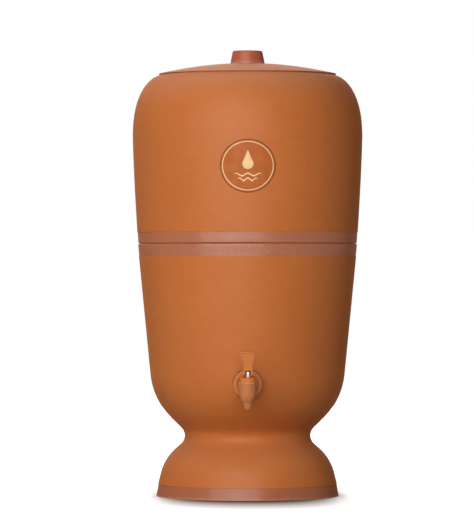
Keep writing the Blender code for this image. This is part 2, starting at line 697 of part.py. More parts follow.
def make_float(parent, plastic, rubber, float_plastic):
    """The arm, its sealing pad and the float, drawn level about the pin and left drooping."""
    half = ARM_THICKNESS / 2
    end = FLOAT_DISTANCE + FLOAT_PEG_RADIUS * 2
    width = ARM_WIDTH / 2
    boss = ARM_BOSS_RADIUS
    corners = [(boss, half, 0), (boss, boss, ARM_END_ROUND), (-boss, boss, boss)]
    corners += [(-boss, -boss, boss), (boss, -boss, ARM_END_ROUND)]
    corners += [(2 * boss, -half, 0), (end, -half, ARM_END_ROUND), (end, half, ARM_END_ROUND)]
    arm = drawn("float_arm", rounded(corners, SMALL_SAG), -width, width, ALONG_Y, plastic, parent)
    peg_low = -half - FLOAT_PEG_LENGTH
    at_float = (FLOAT_DISTANCE, 0, 0)
    fuse(arm, rod("arm_peg", FLOAT_PEG_RADIUS, peg_low, 0, PIN_SIDES, ALONG_Z, plastic, parent, at_float))
    recess = half - PAD_RECESS
    under_nozzle = (PIVOT_OFFSET, 0, 0)
    cut(arm, rod("cut_pad_recess", PAD_RADIUS + SEAT_GAP, recess, half + CUT_MARGIN, PIN_SIDES, ALONG_Z,
                 plastic, parent, under_nozzle))
    cut(arm, rod("cut_arm_bore", PIVOT_PIN_RADIUS + SEAT_GAP, -ARM_WIDTH, ARM_WIDTH, PIN_SIDES, ALONG_Y,
                 plastic, parent))
    rod("float_seal", PAD_RADIUS, recess + SEAT_GAP, half + PAD_PROUD, PIN_SIDES, ALONG_Z,
        rubber, parent, under_nozzle)
    top = -half - SEAT_GAP
    hole = FLOAT_PEG_RADIUS + SEAT_GAP
    hole_end = peg_low - SEAT_GAP
    corners = [(0, hole_end, 0), (0, top - FLOAT_HEIGHT, 0), (FLOAT_RADIUS, top - FLOAT_HEIGHT, FLOAT_ROUND)]
    corners += [(FLOAT_RADIUS, top, FLOAT_ROUND), (hole, top, 0), (hole, hole_end, 0)]
    turned("float", rounded(corners, SMALL_SAG), ROUND_SIDES, float_plastic, parent, at_float)


# The tap

def make_tap_fixings(outward, rubber, plastic):
    """Gasket outside the wall, washer and nut inside it, all on the tap's shank."""
    hole = SHANK_RADIUS + SEAT_GAP
    ring("tap_gasket", GASKET_RADIUS, hole, SEAT_GAP, SEAT_GAP + GASKET_THICKNESS, RING_EDGE, rubber, outward)
    washer = -grip() - SEAT_GAP
    ring("tap_inner_washer", INNER_WASHER_RADIUS, hole, washer - INNER_WASHER_THICKNESS, washer, RING_EDGE,
         rubber, outward)
    top = washer - INNER_WASHER_THICKNESS - SEAT_GAP
    corner = NUT_FLATS / 2 / math.cos(math.pi / NUT_SIDES)
    nut = rod("tap_nut", corner, top - NUT_HEIGHT, top, NUT_SIDES, ALONG_Z, plastic, outward)
    cut(nut, rod("cut_nut_bore", hole, top - NUT_HEIGHT - CUT_MARGIN, top + CUT_MARGIN, ROUND_SIDES, ALONG_Z,
                 plastic, outward))
    return top - NUT_HEIGHT - SHANK_TAIL


def make_tap_body(tap, outward, spout, shank_end, plastic):
    """Upright body, spout, neck, flange and shank in one moulding, bored for the water."""
    corners = [(0, TAP_TOP, 0), (TAP_TOP_RADIUS, TAP_TOP, RING_EDGE), (TAP_BELLY_RADIUS, TAP_BELLY, 0)]
    corners += [(TAP_BOTTOM_RADIUS, TAP_BOTTOM, MOULD_EDGE), (SPOUT_ROOT_RADIUS, TAP_BOTTOM, 0)]
    corners += [(SPOUT_TIP_RADIUS, SPOUT_TIP, RING_EDGE), (0, SPOUT_TIP, 0)]
    body = turned("tap_body", rounded(corners, SMALL_SAG), ROUND_SIDES, plastic, tap, spout)
    flange = GASKET_THICKNESS + 2 * SEAT_GAP
    face = flange + FLANGE_THICKNESS
    corners = [(0, shank_end, 0), (SHANK_RADIUS, shank_end, RING_EDGE), (SHANK_RADIUS, flange, 0)]
    corners += [(FLANGE_RADIUS, flange, FLANGE_ROUND), (FLANGE_RADIUS, face, FLANGE_ROUND)]
    rim = FLANGE_RADIUS - FLANGE_RIM
    corners += [(rim, face, MOULD_EDGE), (rim - FLANGE_DISH, face - FLANGE_DISH, 0)]
    corners += [(NECK_ROOT_RADIUS, face - FLANGE_DISH, MOULD_EDGE), (NECK_TIP_RADIUS, SPOUT_DISTANCE, 0)]
    corners += [(0, SPOUT_DISTANCE, 0)]
    fuse(body, turned("tap_shank", rounded(corners, SMALL_SAG), ROUND_SIDES, plastic, outward))
    seat_drop = CHAMBER_RADIUS - SPOUT_BORE
    mouth = TAP_TOP + CUT_MARGIN
    below = SPOUT_TIP - CUT_MARGIN
    hollow = [(0, mouth), (CHAMBER_RADIUS, mouth), (CHAMBER_RADIUS, CHAMBER_BOTTOM)]
    hollow += [(SPOUT_BORE, CHAMBER_BOTTOM - seat_drop), (SPOUT_BORE, below), (0, below)]
    cut(body, turned("cut_tap_chamber", hollow, ROUND_SIDES, plastic, tap, spout))
    cut(body, rod("cut_shank_bore", SHANK_BORE, shank_end - CUT_MARGIN, SPOUT_DISTANCE, PIN_SIDES, ALONG_Z,
                  plastic, outward))


def make_bonnet(tap, spout, plastic):
    """The cap on the body, with a plug in the chamber and a hole for the stem."""
    low = TAP_TOP + SEAT_GAP
    hole = TAP_STEM_RADIUS + SEAT_GAP
    plug = CHAMBER_RADIUS - SEAT_GAP
    corners = [(hole, low - BONNET_PLUG, 0), (plug, low - BONNET_PLUG, 0), (plug, low, 0)]
    corners += [(BONNET_RADIUS, low, 0), (BONNET_RADIUS, bonnet_top(), BONNET_ROUND), (hole, bonnet_top(), 0)]
    turned("tap_bonnet", rounded(corners, SMALL_SAG), ROUND_SIDES, plastic, tap, spout)


def make_stem(parent, chrome, rubber):
    """The chromed stem, with a round head about the lever's pin, and its rubber seat cup."""
    pin = bonnet_top() + LEVER_PIN_RISE
    barb_end = TAP_STEM_FOOT - TAP_BARB_LENGTH
    outline = [(0, barb_end), (TAP_BARB_RADIUS, barb_end), (TAP_BARB_RADIUS, TAP_STEM_FOOT)]
    outline += [(TAP_STEM_RADIUS, TAP_STEM_FOOT)]
    outline += dome(TAP_STEM_RADIUS, 0, pin + TAP_STEM_RADIUS, TAP_STEM_RADIUS, SMALL_SAG)[2:]
    stem = turned("tap_stem", outline, ROUND_SIDES, chrome, parent)
    reach = 2 * TAP_STEM_RADIUS
    cut(stem, rod("cut_stem_bore", LEVER_PIN_RADIUS + SEAT_GAP, -reach, reach, PIN_SIDES, ALONG_X,
                  chrome, parent, (0, 0, pin)))
    top = TAP_STEM_FOOT - SEAT_GAP
    slant = CHAMBER_BOTTOM - CHAMBER_RADIUS + SEAT_GAP * math.sqrt(2)
    corners = [(0, slant + SPOUT_BORE, 0), (SPOUT_BORE, slant + SPOUT_BORE, 0)]
    corners += [(CUP_RADIUS, slant + CUP_RADIUS, 0), (CUP_RADIUS, top, RING_EDGE)]
    barb = TAP_BARB_RADIUS + SEAT_GAP
    corners += [(barb, top, 0), (barb, barb_end - SEAT_GAP, 0), (0, barb_end - SEAT_GAP, 0)]
    turned("tap_seat_cup", rounded(corners, SMALL_SAG), ROUND_SIDES, rubber, parent)


def make_lever(parent, plastic, steel):
    """The cam lever about its pin: a forked foot that rides on the bonnet, and a paddle."""
    fork = TAP_STEM_RADIUS + SEAT_GAP + CHEEK_THICKNESS
    lever = drawn("tap_lever", cam_outline(), -fork, fork, ALONG_X, plastic, parent)
    slot_top = TAP_STEM_RADIUS + SLOT_HEAD_GAP
    corners = [(-PADDLE_NECK_HALF, slot_top, 0), (PADDLE_NECK_HALF, slot_top, 0)]
    corners += [(PADDLE_TOP_HALF, PADDLE_LENGTH, PADDLE_CORNER)]
    corners += [(-PADDLE_TOP_HALF, PADDLE_LENGTH, PADDLE_CORNER)]
    face = rounded(corners, SMALL_SAG)
    paddle = drawn("lever_paddle", face, -PADDLE_FRONT, PADDLE_BACK, ALONG_Y, plastic, parent)
    taper(paddle, slot_top)
    soften = paddle.modifiers.new("soft_edges", 'BEVEL')
    soften.width = PADDLE_EDGE
    soften.segments = 2
    soften.limit_method = 'ANGLE'
    soften.angle_limit = SHARP_ANGLE
    fuse(lever, paddle)
    cut(lever, make_panel(parent, plastic))
    deep = 4 * LEVER_PIN_RISE
    side = [(-deep, -deep), (deep, -deep), (deep, slot_top), (-deep, slot_top)]
    half_slot = TAP_STEM_RADIUS + SEAT_GAP
    cut(lever, drawn("cut_lever_slot", side, -half_slot, half_slot, ALONG_X, plastic, parent))
    cut(lever, rod("cut_lever_bore", LEVER_PIN_RADIUS + SEAT_GAP, -2 * fork, 2 * fork, PIN_SIDES, ALONG_X,
                   plastic, parent))
    rod("tap_lever_pin", LEVER_PIN_RADIUS, -fork, fork, PIN_SIDES, ALONG_X, steel, parent)


def taper(paddle, low):
    """Thin a paddle towards its tip."""
    for vert in paddle.data.vertices:
        share = (vert.co.z - low) / (PADDLE_LENGTH - low)
        if vert.co.y < 0:
            vert.co.y = -PADDLE_FRONT + (PADDLE_FRONT - PADDLE_TOP_FRONT) * share
        else:
            vert.co.y = PADDLE_BACK - (PADDLE_BACK - PADDLE_TOP_BACK) * share


def make_panel(parent, plastic):
    """Tool for the sunk panel on the paddle's front, which follows its slope."""
    low = CAM_TOP + PANEL_BORDER
    high = PADDLE_LENGTH - PANEL_BORDER
    spread = (PADDLE_TOP_HALF - PADDLE_NECK_HALF) / PADDLE_LENGTH
    bottom_half = PADDLE_NECK_HALF + spread * low - PANEL_BORDER
    top_half = PADDLE_NECK_HALF + spread * high - PANEL_BORDER
    corners = [(-bottom_half, low, PANEL_BORDER / 2), (bottom_half, low, PANEL_BORDER / 2)]
    corners += [(top_half, high, PANEL_BORDER / 2), (-top_half, high, PANEL_BORDER / 2)]
    face = rounded(corners, SMALL_SAG)
    panel = drawn("cut_panel", face, -PADDLE_FRONT - CUT_MARGIN, -PADDLE_FRONT + PANEL_DEPTH, ALONG_Y,
                  plastic, parent)
    for vert in panel.data.vertices:
        share = vert.co.z / PADDLE_LENGTH
        vert.co.y += (PADDLE_FRONT - PADDLE_TOP_FRONT) * share
    return panel


# The whole filter

def clear_scene():
    for item in list(bpy.data.objects):
        bpy.data.objects.remove(item, do_unlink=True)


def build():
    clear_scene()
    clay = finish("terracotta", (192, 110, 62), 0.62)
    knob_plastic = finish("knob_plastic", (150, 68, 40), 0.38)
    tap_plastic = finish("tap_plastic", (198, 118, 70), 0.45)
    cap_plastic = finish("bonnet_plastic", (214, 116, 44), 0.40)
    white_plastic = finish("white_plastic", (228, 228, 222), 0.45)
    float_plastic = finish("float_plastic", (206, 214, 220), 0.35)
    ceramic = finish("candle_ceramic", (236, 232, 220), 0.80)
    carbon = finish("carbon", (28, 28, 30), 0.90)
    rubber = finish("rubber", (45, 44, 43), 0.75)
    steel = finish("steel", (176, 178, 180), 0.30, 1.0)
    chrome = finish("chrome", (226, 228, 230), 0.08, 1.0)

    axis = frame("filter_axis", location=(0, (tap_reach() - GIRTH_RADIUS) / 2, 0))
    upper = frame("upper_tank", axis, (0, 0, LOWER_HEIGHT + SEAT_GAP))
    lid = frame("lid_seat", upper, (0, 0, lip_height() + SEAT_GAP))
    valve = frame("float_valve_seat", upper)
    valve.rotation_euler = (0, 0, math.pi / 2)
    swing = frame("float_pivot", valve, (-PIVOT_OFFSET, 0, pivot_height()))
    swing.rotation_euler = (0, FLOAT_DROOP, 0)
    seat_radius, seat_height = seat_centre()
    tap = frame("tap_seat", axis, (0, -seat_radius, seat_height), tap_tilt())
    outward = frame("tap_outward", tap, tilt=math.pi / 2)
    spout = (0, -SPOUT_DISTANCE, 0)
    stem = frame("tap_stem_axis", tap, spout)
    lever = frame("tap_lever_axis", tap, (0, -SPOUT_DISTANCE, bonnet_top() + LEVER_PIN_RISE))

    make_lower_vessel(axis, outward, clay)
    turned("upper_vessel", upper_outline(), VESSEL_SIDES, clay, upper)
    make_lid(lid, clay, knob_plastic, steel)
    make_candle(upper, ceramic, carbon, white_plastic, rubber)
    make_wing_nut(upper, white_plastic)
    make_float_valve(valve, white_plastic, steel)
    make_float(swing, white_plastic, rubber, float_plastic)
    shank_end = make_tap_fixings(outward, rubber, white_plastic)
    make_tap_body(tap, outward, spout, shank_end, tap_plastic)
    make_bonnet(tap, spout, cap_plastic)
    make_stem(stem, chrome, rubber)
    make_lever(lever, tap_plastic, steel)


build()
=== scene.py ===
"""Looks of a two-tank clay water filter: matte clay with burnished bands, a moulded tap with a
chromed stem, the candle and the float valve inside, a plain oval badge, and a pale studio.
Metres, +Z up, the tap on the front (-Y)."""

import json
import math

import bmesh
import bpy
from mathutils import Matrix, Vector


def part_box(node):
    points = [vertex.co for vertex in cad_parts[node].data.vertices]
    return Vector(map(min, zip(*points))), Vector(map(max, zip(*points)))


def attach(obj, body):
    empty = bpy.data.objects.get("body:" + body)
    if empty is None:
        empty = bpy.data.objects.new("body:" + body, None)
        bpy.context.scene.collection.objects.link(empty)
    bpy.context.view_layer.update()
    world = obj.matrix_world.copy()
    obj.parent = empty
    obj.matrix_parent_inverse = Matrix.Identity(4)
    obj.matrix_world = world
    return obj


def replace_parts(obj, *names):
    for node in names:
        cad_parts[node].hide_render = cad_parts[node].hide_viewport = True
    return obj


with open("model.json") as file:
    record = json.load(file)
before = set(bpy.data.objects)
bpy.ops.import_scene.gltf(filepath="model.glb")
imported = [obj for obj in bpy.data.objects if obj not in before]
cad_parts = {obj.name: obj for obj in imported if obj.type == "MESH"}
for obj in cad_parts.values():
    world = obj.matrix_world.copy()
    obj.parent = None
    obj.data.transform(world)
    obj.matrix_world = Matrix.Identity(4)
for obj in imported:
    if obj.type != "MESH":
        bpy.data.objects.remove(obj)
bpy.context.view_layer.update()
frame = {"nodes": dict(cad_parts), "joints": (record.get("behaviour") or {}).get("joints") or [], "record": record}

# Reading the turned solids back as outlines: corners this near are one corner, heights that agree
# to this many digits are one level, and a side read alone is the wedge with this cosine
SAME_CORNER = 0.00002
LEVEL_DIGITS = 5
WEDGE_COSINE = 0.64

# Fineness of the shown meshes
VESSEL_SIDES = 168
ROUND_SIDES = 72
VESSEL_STEP = 0.0060
SMALL_STEP = 0.0020
TURN_STEP = math.radians(7)
CREASE_ANGLE = math.radians(40)

# Bevels on sharp corners: what is sharp, the bevels, and the most of a short side that they take
SHARP_BEND = math.radians(50)
CLAY_BEVEL = 0.0005
SMALL_BEVEL = 0.00025
CORNER_SHARE = 0.4

# Moulded pieces: voxel of the fine mesh, and how its edges are eased
TAP_VOXEL = 0.00025
LEVER_VOXEL = 0.00018
INNER_VOXEL = 0.00025
EASE_FACTOR = 0.5
EASE_PASSES = 6

# Worn edges: how far the paler clay reaches from a corner, and how near a band's step stays unworn.
# At the seam between the tanks, the paler edge is also a painted highlight.
WEAR_REACH = 0.0022
STEP_REACH = 0.0009

# The foot's band: height of its step as modelled and as shown, and how near the step's corners lie
BAND_STEP = 0.0120
SHOWN_STEP = 0.0138
STEP_NEAR = 0.0006

# Burnished bands: lowest, highest, least radius, material slot. Heights are from the ground, and
# each end lies a little past its step, so that the step's own face counts as the band's.
BANDS = {
    "lower_vessel": ((-0.001, 0.01381, 0.0990, 2), (0.27299, 0.2885, 0.1195, 1)),
    "upper_vessel": ((0.2865, 0.30001, 0.1195, 1),),
}

# The tap and the wall's cuts for it
SEAT_RADIUS = 0.0169
INNER_SEAT_RADIUS = 0.0150
SEAT_GAP = 0.0003
SHANK_HOLE_RADIUS = 0.0085
WATERWAY_RADIUS = 0.0038
NECK_TIP_RADIUS = 0.0070
NECK_REACH = 0.0240
CUT_MARGIN = 0.0020

# Badge on the upper tank: an oval plate with a rim, a line inside it, and a drop over two waves
BADGE_HEIGHT = 0.3727
BADGE_HALF_WIDTH = 0.0312
BADGE_HALF_HEIGHT = 0.0298
BADGE_RIM = 0.0012
BADGE_LINE_INSET = 0.0024
BADGE_LINE = 0.0010
DROP_RADIUS = 0.0062
DROP_CENTRE = 0.0025
DROP_TAIL = 1.35
DROP_NARROWING = 0.55
WAVE_HALF = 0.0165
WAVE_HEIGHT = 0.0014
WAVE_WIDTH = 0.0017
WAVE_COUNT = 2.5

# Each wave's height on the badge, and its share of the full length
WAVE_ROWS = ((-0.0098, 1), (-0.0150, 0.72))

# The badge's thin sheets: how far they stand off the wall, their thickness and their fineness
PLATE_LIFT = 0.00022
PRINT_LIFT = 0.00034
SHEET_THICKNESS = 0.00018
OVAL_COLUMNS = 96
PRINT_COLUMNS = 64
PLATE_ROWS = 24
DROP_ROWS = 8
LINE_ROWS = 2

# Noise patterns: scale per metre, detail, roughness, and how the coordinates are drawn out
EVEN = (1, 1, 1)
PATTERNS = {
    "clay_patches": (9, 3, 0.5, EVEN),
    "clay_mottle": (85, 4, 0.6, EVEN),
    "clay_grit": (1500, 2, 0.6, EVEN),
    "turning_marks": (1, 3, 0.6, (6, 6, 620)),
    "plastic_flow": (60, 3, 0.5, EVEN),
    "plastic_skin": (2600, 2, 0.5, EVEN),
    "handling_rubs": (1, 4, 0.7, (900, 120, 120)),
    "ceramic_pores": (1300, 3, 0.65, EVEN),
    "carbon_pores": (1100, 3, 0.65, EVEN),
    "block_clouds": (45, 4, 0.6, EVEN),
    "rubber_bloom": (140, 4, 0.65, EVEN),
    "rubber_skin": (2200, 2, 0.5, EVEN),
    "tarnish": (260, 4, 0.6, EVEN),
    "tool_rings": (1, 2, 0.5, (300, 300, 5200)),
    "ink_clouds": (120, 3, 0.5, EVEN),
    "pinholes": (1700, 2, 0.5, EVEN),
}

# Relief of a pattern: depth and strength of its bumps
RELIEF = {
    "clay_grit": (0.00006, 0.8),
    "turning_marks": (0.00008, 0.5),
    "clay_mottle": (0.00025, 0.35),
    "plastic_skin": (0.00003, 0.6),
    "ceramic_pores": (0.00012, 0.8),
    "carbon_pores": (0.00025, 0.8),
    "rubber_skin": (0.00004, 0.7),
    "tool_rings": (0.00002, 0.5),
    "pinholes": (0.00004, 0.5),
}

# The span that holds most of a noise's values
MOST = (0.3, 0.7)

# Clay: what patches and mottle add to its tone, then its grains and turning marks as the span of
# the noise that shows, the most that it covers and the colour. A pale grain is where the noise is
# low, so its span runs down.
PATCH_SHARE = 0.55
MOTTLE_SHARE = 0.45
DARK_GRAIN_SPAN = (0.60, 0.74)
DARK_GRAIN_COVER = 0.30
DARK_GRAIN_COLOUR = (150, 74, 38)
PALE_GRAIN_SPAN = (0.40, 0.26)
PALE_GRAIN_COVER = 0.22
PALE_GRAIN_COLOUR = (224, 158, 112)
MARK_SPAN = (0.35, 0.65)
MARK_COVER = 0.10
CLAY_ROUGHNESS_PLAY = 0.05

# Worn clay, which at the seam is also a painted highlight: span of the wear and mottle together, the
# most that it covers, and how much rougher
WORN_SPAN = (0.85, 1.45)
WORN_COVER = 0.55
WORN_ROUGHER = 0.10

# Dust and a painted sheen of top light: the upward parts of the normal between which they show,
# the most that they cover, the heights between which they thicken, their share low down (less, as
# the belly above shades the foot), the dust that lies everywhere, and their colour
DUST_AND_SHEEN_SLOPE = (0.22, 0.72)
DUST_AND_SHEEN_COVER = 0.20
DUST_AND_SHEEN_HEIGHT = (0.10, 0.40)
DUST_AND_SHEEN_LOW_SHARE = 0.4
DUST_EVERYWHERE = 0.03
DUST_AND_SHEEN_COLOUR = (190, 148, 128)

# How far a face turns away, from 0 to 1, while its roughness goes over to the edge-on one
TURNED_AWAY = (0.15, 0.62)

# Plastic: roughness edge-on, handling marks in its roughness, and paler worn edges
PLASTIC_EDGE_ON = 0.90
RUB_SPAN = (0.35, 0.75)
RUB_SMOOTHER = 0.04
RUB_ROUGHER = 0.10
PLASTIC_WEAR = 0.18
PLASTIC_WORN = (236, 214, 196)

# Ceramic and carbon: span of a pore, what pores and clouds add to the tone, and the finish
PORE_SPAN = (0.35, 0.60)
PORE_SHARE = 0.7
CLOUD_SHARE = 0.3
POROUS_ROUGHNESS = (0.82, 0.95)
POROUS_SPECULAR = 0.15

# Rubber: its colour, and the bloom of dust on it
RUBBER_COLOUR = (38, 37, 36)
RUBBER_ROUGHNESS = (0.62, 0.82)
RUBBER_SPECULAR = 0.30
BLOOM_COLOUR = (84, 80, 77)
BLOOM_SPAN = (0.4, 0.75)
BLOOM_COVER = 0.5

# Metal: where the tarnish colours it, and where and how much it roughens it
TARNISH_SPAN = (0.4, 0.75)
DULLED_SPAN = (0.35, 0.7)
DULLED_ROUGHER = 0.10

# Ink: how much its clouds deepen it, its roughness below and above the middle, and its pinholes
INK_CLOUD = 0.8
INK_SMOOTHER = 0.05
INK_ROUGHER = 0.08
INK_SPECULAR = 0.35
PINHOLE_SPAN = (0.66, 0.78)
PINHOLE_COVER = 0.4
PINHOLE_COLOUR = (186, 106, 60)

# Clays: pale, deep and worn colour (the worn one is also a painted highlight on the seam's edges),
# roughness face-on and edge-on, specular level, share of grit. Colours are display values, here and
# below.
CLAYS = {
    "fired_clay": ((200, 114, 53), (192, 104, 44), (209, 135, 88), 0.40, 0.84, 0.20, 1.0),
    "lid_clay": ((199, 116, 58), (191, 107, 49), (207, 135, 92), 0.44, 0.72, 0.22, 1.0),
    "burnished_clay": ((173, 97, 56), (165, 89, 48), (198, 138, 110), 0.26, 0.90, 0.58, 0.3),
    "foot_band_clay": ((171, 97, 59), (163, 89, 51), (196, 136, 108), 0.30, 0.90, 0.36, 0.3),
}

# Plastics: colour, deeper flow, roughness, specular level
PLASTICS = {
    "knob_brown": ((172, 85, 45), (164, 77, 39), 0.33, 0.42),
    "tap_terracotta": ((204, 125, 73), (196, 115, 63), 0.44, 0.38),
    "lever_terracotta": ((206, 124, 60), (198, 115, 52), 0.50, 0.30),
    "bonnet_orange": ((216, 124, 56), (208, 115, 46), 0.46, 0.32),
    "white_moulding": ((229, 229, 223), (221, 220, 212), 0.42, 0.45),
    "float_moulding": ((206, 214, 220), (196, 206, 214), 0.30, 0.45),
}

# Open-pored blocks: colour, colour in the pores, pattern of the pores
BLOCKS = {
    "candle_ceramic_body": ((238, 234, 222), (214, 206, 188), "ceramic_pores"),
    "pressed_carbon": ((34, 34, 36), (12, 12, 13), "carbon_pores"),
}

# Metals: colour, tarnished colour, roughness, share of the tool's rings
METALS = {
    "turned_steel": ((182, 184, 186), (150, 150, 150), 0.24, 1.0),
    # The chrome's warm tint is a painted reflection of the orange clay around it
    "chrome_with_painted_warm_reflection": ((226, 204, 192), (200, 178, 166), 0.30, 0.4),
}

# Inks: colour, deeper clouds, roughness
INKS = {
    "badge_amber": ((182, 92, 22), (172, 84, 16), 0.55),
    "badge_cream": ((246, 206, 150), (238, 196, 136), 0.52),
    "badge_brown": ((126, 60, 22), (116, 52, 18), 0.55),
}

# Softboxes: name, azimuth and elevation in degrees, distance, width, height, watts
SOFTBOXES = (
    ("key_softbox", -31, 13, 2.2, 1.35, 1.80, 23.5),
    ("front_softbox", -1, 13, 2.6, 1.60, 2.00, 36.5),
    ("top_softbox", -150, 68, 2.0, 1.60, 1.20, 14.0),
    ("side_softbox", -140, 30, 2.4, 1.20, 1.00, 9.0),
    ("back_softbox", 180, 13, 2.6, 1.20, 2.00, 20.0),
)

# The world's strength for rays that light the object; for rays that see it, it is 1
FILL = 0.02

# Floor: its half size and cells, its tone as it lights the object, as it is seen, and in its painted
# shade
FLOOR_HALF = 20
FLOOR_CELLS = 8
FLOOR_BOUNCE = (0.28, 0.27, 0.26, 1)
FLOOR_SEEN = (0.80, 0.79, 0.78, 1)
FLOOR_SHADED = (0.20, 0.14, 0.11, 1)

# Glow that whitens what the softboxes leave grey: near the foot and far from it, and between which
# distances it changes
GLOW_NEAR = 0.70
GLOW_FAR = 1.0
GLOW_SPREAD = (0.35, 1.20)

# Painted contact shadow, darkened by ambient occlusion: its reach, the span of openness in which it
# fades, and the light left in it
CONTACT_REACH = 0.025
CONTACT_SAMPLES = 16
CONTACT_SPAN = (0.35, 0.95)
CONTACT_LEFT = 0.8

# Painted soft shadow of the foot on the floor: the foot's edge, how far it fades forward of that
# edge, its half width and the power with which it fades sideways, and how far it fades back from the
# axis
SHADE_EDGE = 0.101
SHADE_FORWARD = (0.015, 0.165)
SHADE_SIDE = 0.115
SHADE_SIDE_POWER = 5
SHADE_BACK = (0.02, 0.14)

# Camera, level at the photograph's eye height. The lens and the sensor are in millimetres.
EYE_HEIGHT = 0.2628
EYE_ACROSS = -0.0120
EYE_DISTANCE = 4.373
LENS = 260.6
SENSOR = 36


# Places

def joint(name):
    return next(item for item in frame["joints"] if item["name"] == name)


def place(origin, up):
    """A frame at origin with its Z along up, turned about X only."""
    z_axis = Vector(up).normalized()
    x_axis = Vector((1, 0, 0))
    made = Matrix((x_axis, z_axis.cross(x_axis), z_axis)).transposed().to_4x4()
    made.translation = origin
    return made


def middle(node):
    low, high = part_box(node)
    return (low + high) / 2


def tank_place():
    """On the ground, on the tanks' common axis."""
    centre = middle("lower_vessel")
    return place((centre.x, centre.y, 0), (0, 0, 1))


def stem_place():
    """On the lever's pin, Z up the tap's stem."""
    return place(joint("tap_lever_tilt")["pos_m"], joint("tap_stem_lift")["axis"])


def shank_place(node):
    """In the middle of a ring on the tap's shank, Z out of the tank."""
    return place(middle(node), -stem_place().col[1].xyz)


def float_place():
    """In the middle of the float, which droops by the arm's whole swing."""
    droop = math.radians(joint("float_swing")["range_deg"][1])
    return place(middle("float"), (0, math.sin(droop), math.cos(droop)))


# Outlines

def read_outline(node, where, facing=None, top=math.inf):
    """Section of a turned node about a place's Z axis, as (radius, height) corners in order, the
    clay or plastic on the left. facing keeps one side of a node that is cut elsewhere, and top
    leaves out what is higher."""
    mesh = frame["nodes"][node].data
    corners, corner_of = section_corners(mesh, where.inverted(), facing, top)
    links = [set() for _ in corners]
    for edge in mesh.edges:
        start, end = (corner_of.get(index) for index in edge.vertices)
        if start is not None and end is not None and start != end:
            links[start].add(end)
            links[end].add(start)
    ends = [index for index, near in enumerate(links) if len(near) == 1]
    outline = [corners[index] for index in walk(links, ends[0] if ends else 0)]
    if signed_area(outline) < 0:
        outline.reverse()
    if ends and top == math.inf:
        outline = to_axis(outline)
    return outline


def section_corners(mesh, inside, facing, top):
    """The different (radius, height) corners of a mesh, and the corner of each vertex."""
    corners = []
    corner_of = {}
    for vertex in mesh.vertices:
        spot = inside @ vertex.co
        radius = spot.xy.length
        if spot.z > top or facing and spot.xy.dot(facing) < WEDGE_COSINE * radius:
            continue
        here = Vector((radius, spot.z))
        same = (index for index, corner in enumerate(corners)
                if (corner - here).length < SAME_CORNER)
        found = next(same, len(corners))
        if found == len(corners):
            corners.append(here)
        corner_of[vertex.index] = found
    return corners, corner_of


def walk(links, start):
    """Follow the links from one corner to the next, each corner once."""
    order = [start]
    while True:
        ahead = [index for index in links[order[-1]] if index not in order]
        if not ahead:
            return order
        order.append(ahead[0])


def signed_area(outline):
    pairs = zip(outline, outline[1:] + outline[:1])
    return sum(start.x * end.y - end.x * start.y for start, end in pairs) / 2


def to_axis(outline):
    """End an open outline on the axis."""
    lead = [] if outline[0].x < SAME_CORNER else [Vector((0, outline[0].y))]
    tail = [] if outline[-1].x < SAME_CORNER else [Vector((0, outline[-1].y))]
    return lead + outline + tail


def is_open(outline):
    return outline[0].x < SAME_CORNER and outline[-1].x < SAME_CORNER


def is_end(outline, index):
    return is_open(outline) and index in (0, len(outline) - 1)


def neighbours(outline, index):
    """Vectors from a corner to the ones before and after it."""
    here = outline[index]
    return outline[index - 1] - here, outline[(index + 1) % len(outline)] - here


def is_sharp(outline, index):
    if is_end(outline, index):
        return False
    back, ahead = neighbours(outline, index)
    return ahead.angle(-back) > SHARP_BEND


def bevelled(outline, bevel):
    """Turn each sharp corner into a small arc of three points."""
    made = []
    for index, here in enumerate(outline):
        if not is_sharp(outline, index):
            made.append(here)
            continue
        back, ahead = neighbours(outline, index)
        reach = min(bevel, CORNER_SHARE * back.length, CORNER_SHARE * ahead.length)
        half = back.angle(ahead) / 2
        inward = (back.normalized() + ahead.normalized()).normalized()
        sink = reach * math.tan(half) * (1 / math.sin(half) - 1)
        made += [here + back.normalized() * reach, here + inward * sink,
                 here + ahead.normalized() * reach]
    return made


def directions(outline):
    """Unit tangent at each corner. The longer side counts for more, so straight runs stay straight."""
    made = []
    for index in range(len(outline)):
        if is_end(outline, index):
            made.append(Vector((1 if index == 0 else -1, 0)))
            continue
        back, ahead = neighbours(outline, index)
        made.append((ahead * ahead.length - back * back.length).normalized())
    return made


def curved(outline, step):
    """A fair curve through an outline's corners, in short steps."""
    points = []
    along = directions(outline)
    last = len(outline) - 1 if is_open(outline) else len(outline)
    for index in range(last):
        following = (index + 1) % len(outline)
        start, end = outline[index], outline[following]
        chord = (end - start).length
        turn = along[index].angle(along[following])
        steps = max(1, math.ceil(turn / TURN_STEP), math.ceil(chord / step))
        for part in range(steps):
            share = part / steps
            points.append(start * (2 * share ** 3 - 3 * share ** 2 + 1)
                          + along[index] * chord * (share ** 3 - 2 * share ** 2 + share)
                          + end * (3 * share ** 2 - 2 * share ** 3)
                          + along[following] * chord * (share ** 3 - share ** 2))
    if is_open(outline):
        points.append(outline[-1])
    return points


def outer_corners(outline):
    """Sharp corners that stand out, where a skin wears first."""
    found = []
    for index, here in enumerate(outline):
        back, ahead = neighbours(outline, index)
        if is_sharp(outline, index) and ahead.cross(back) > 0:
            found.append(here)
    return found


# Meshes

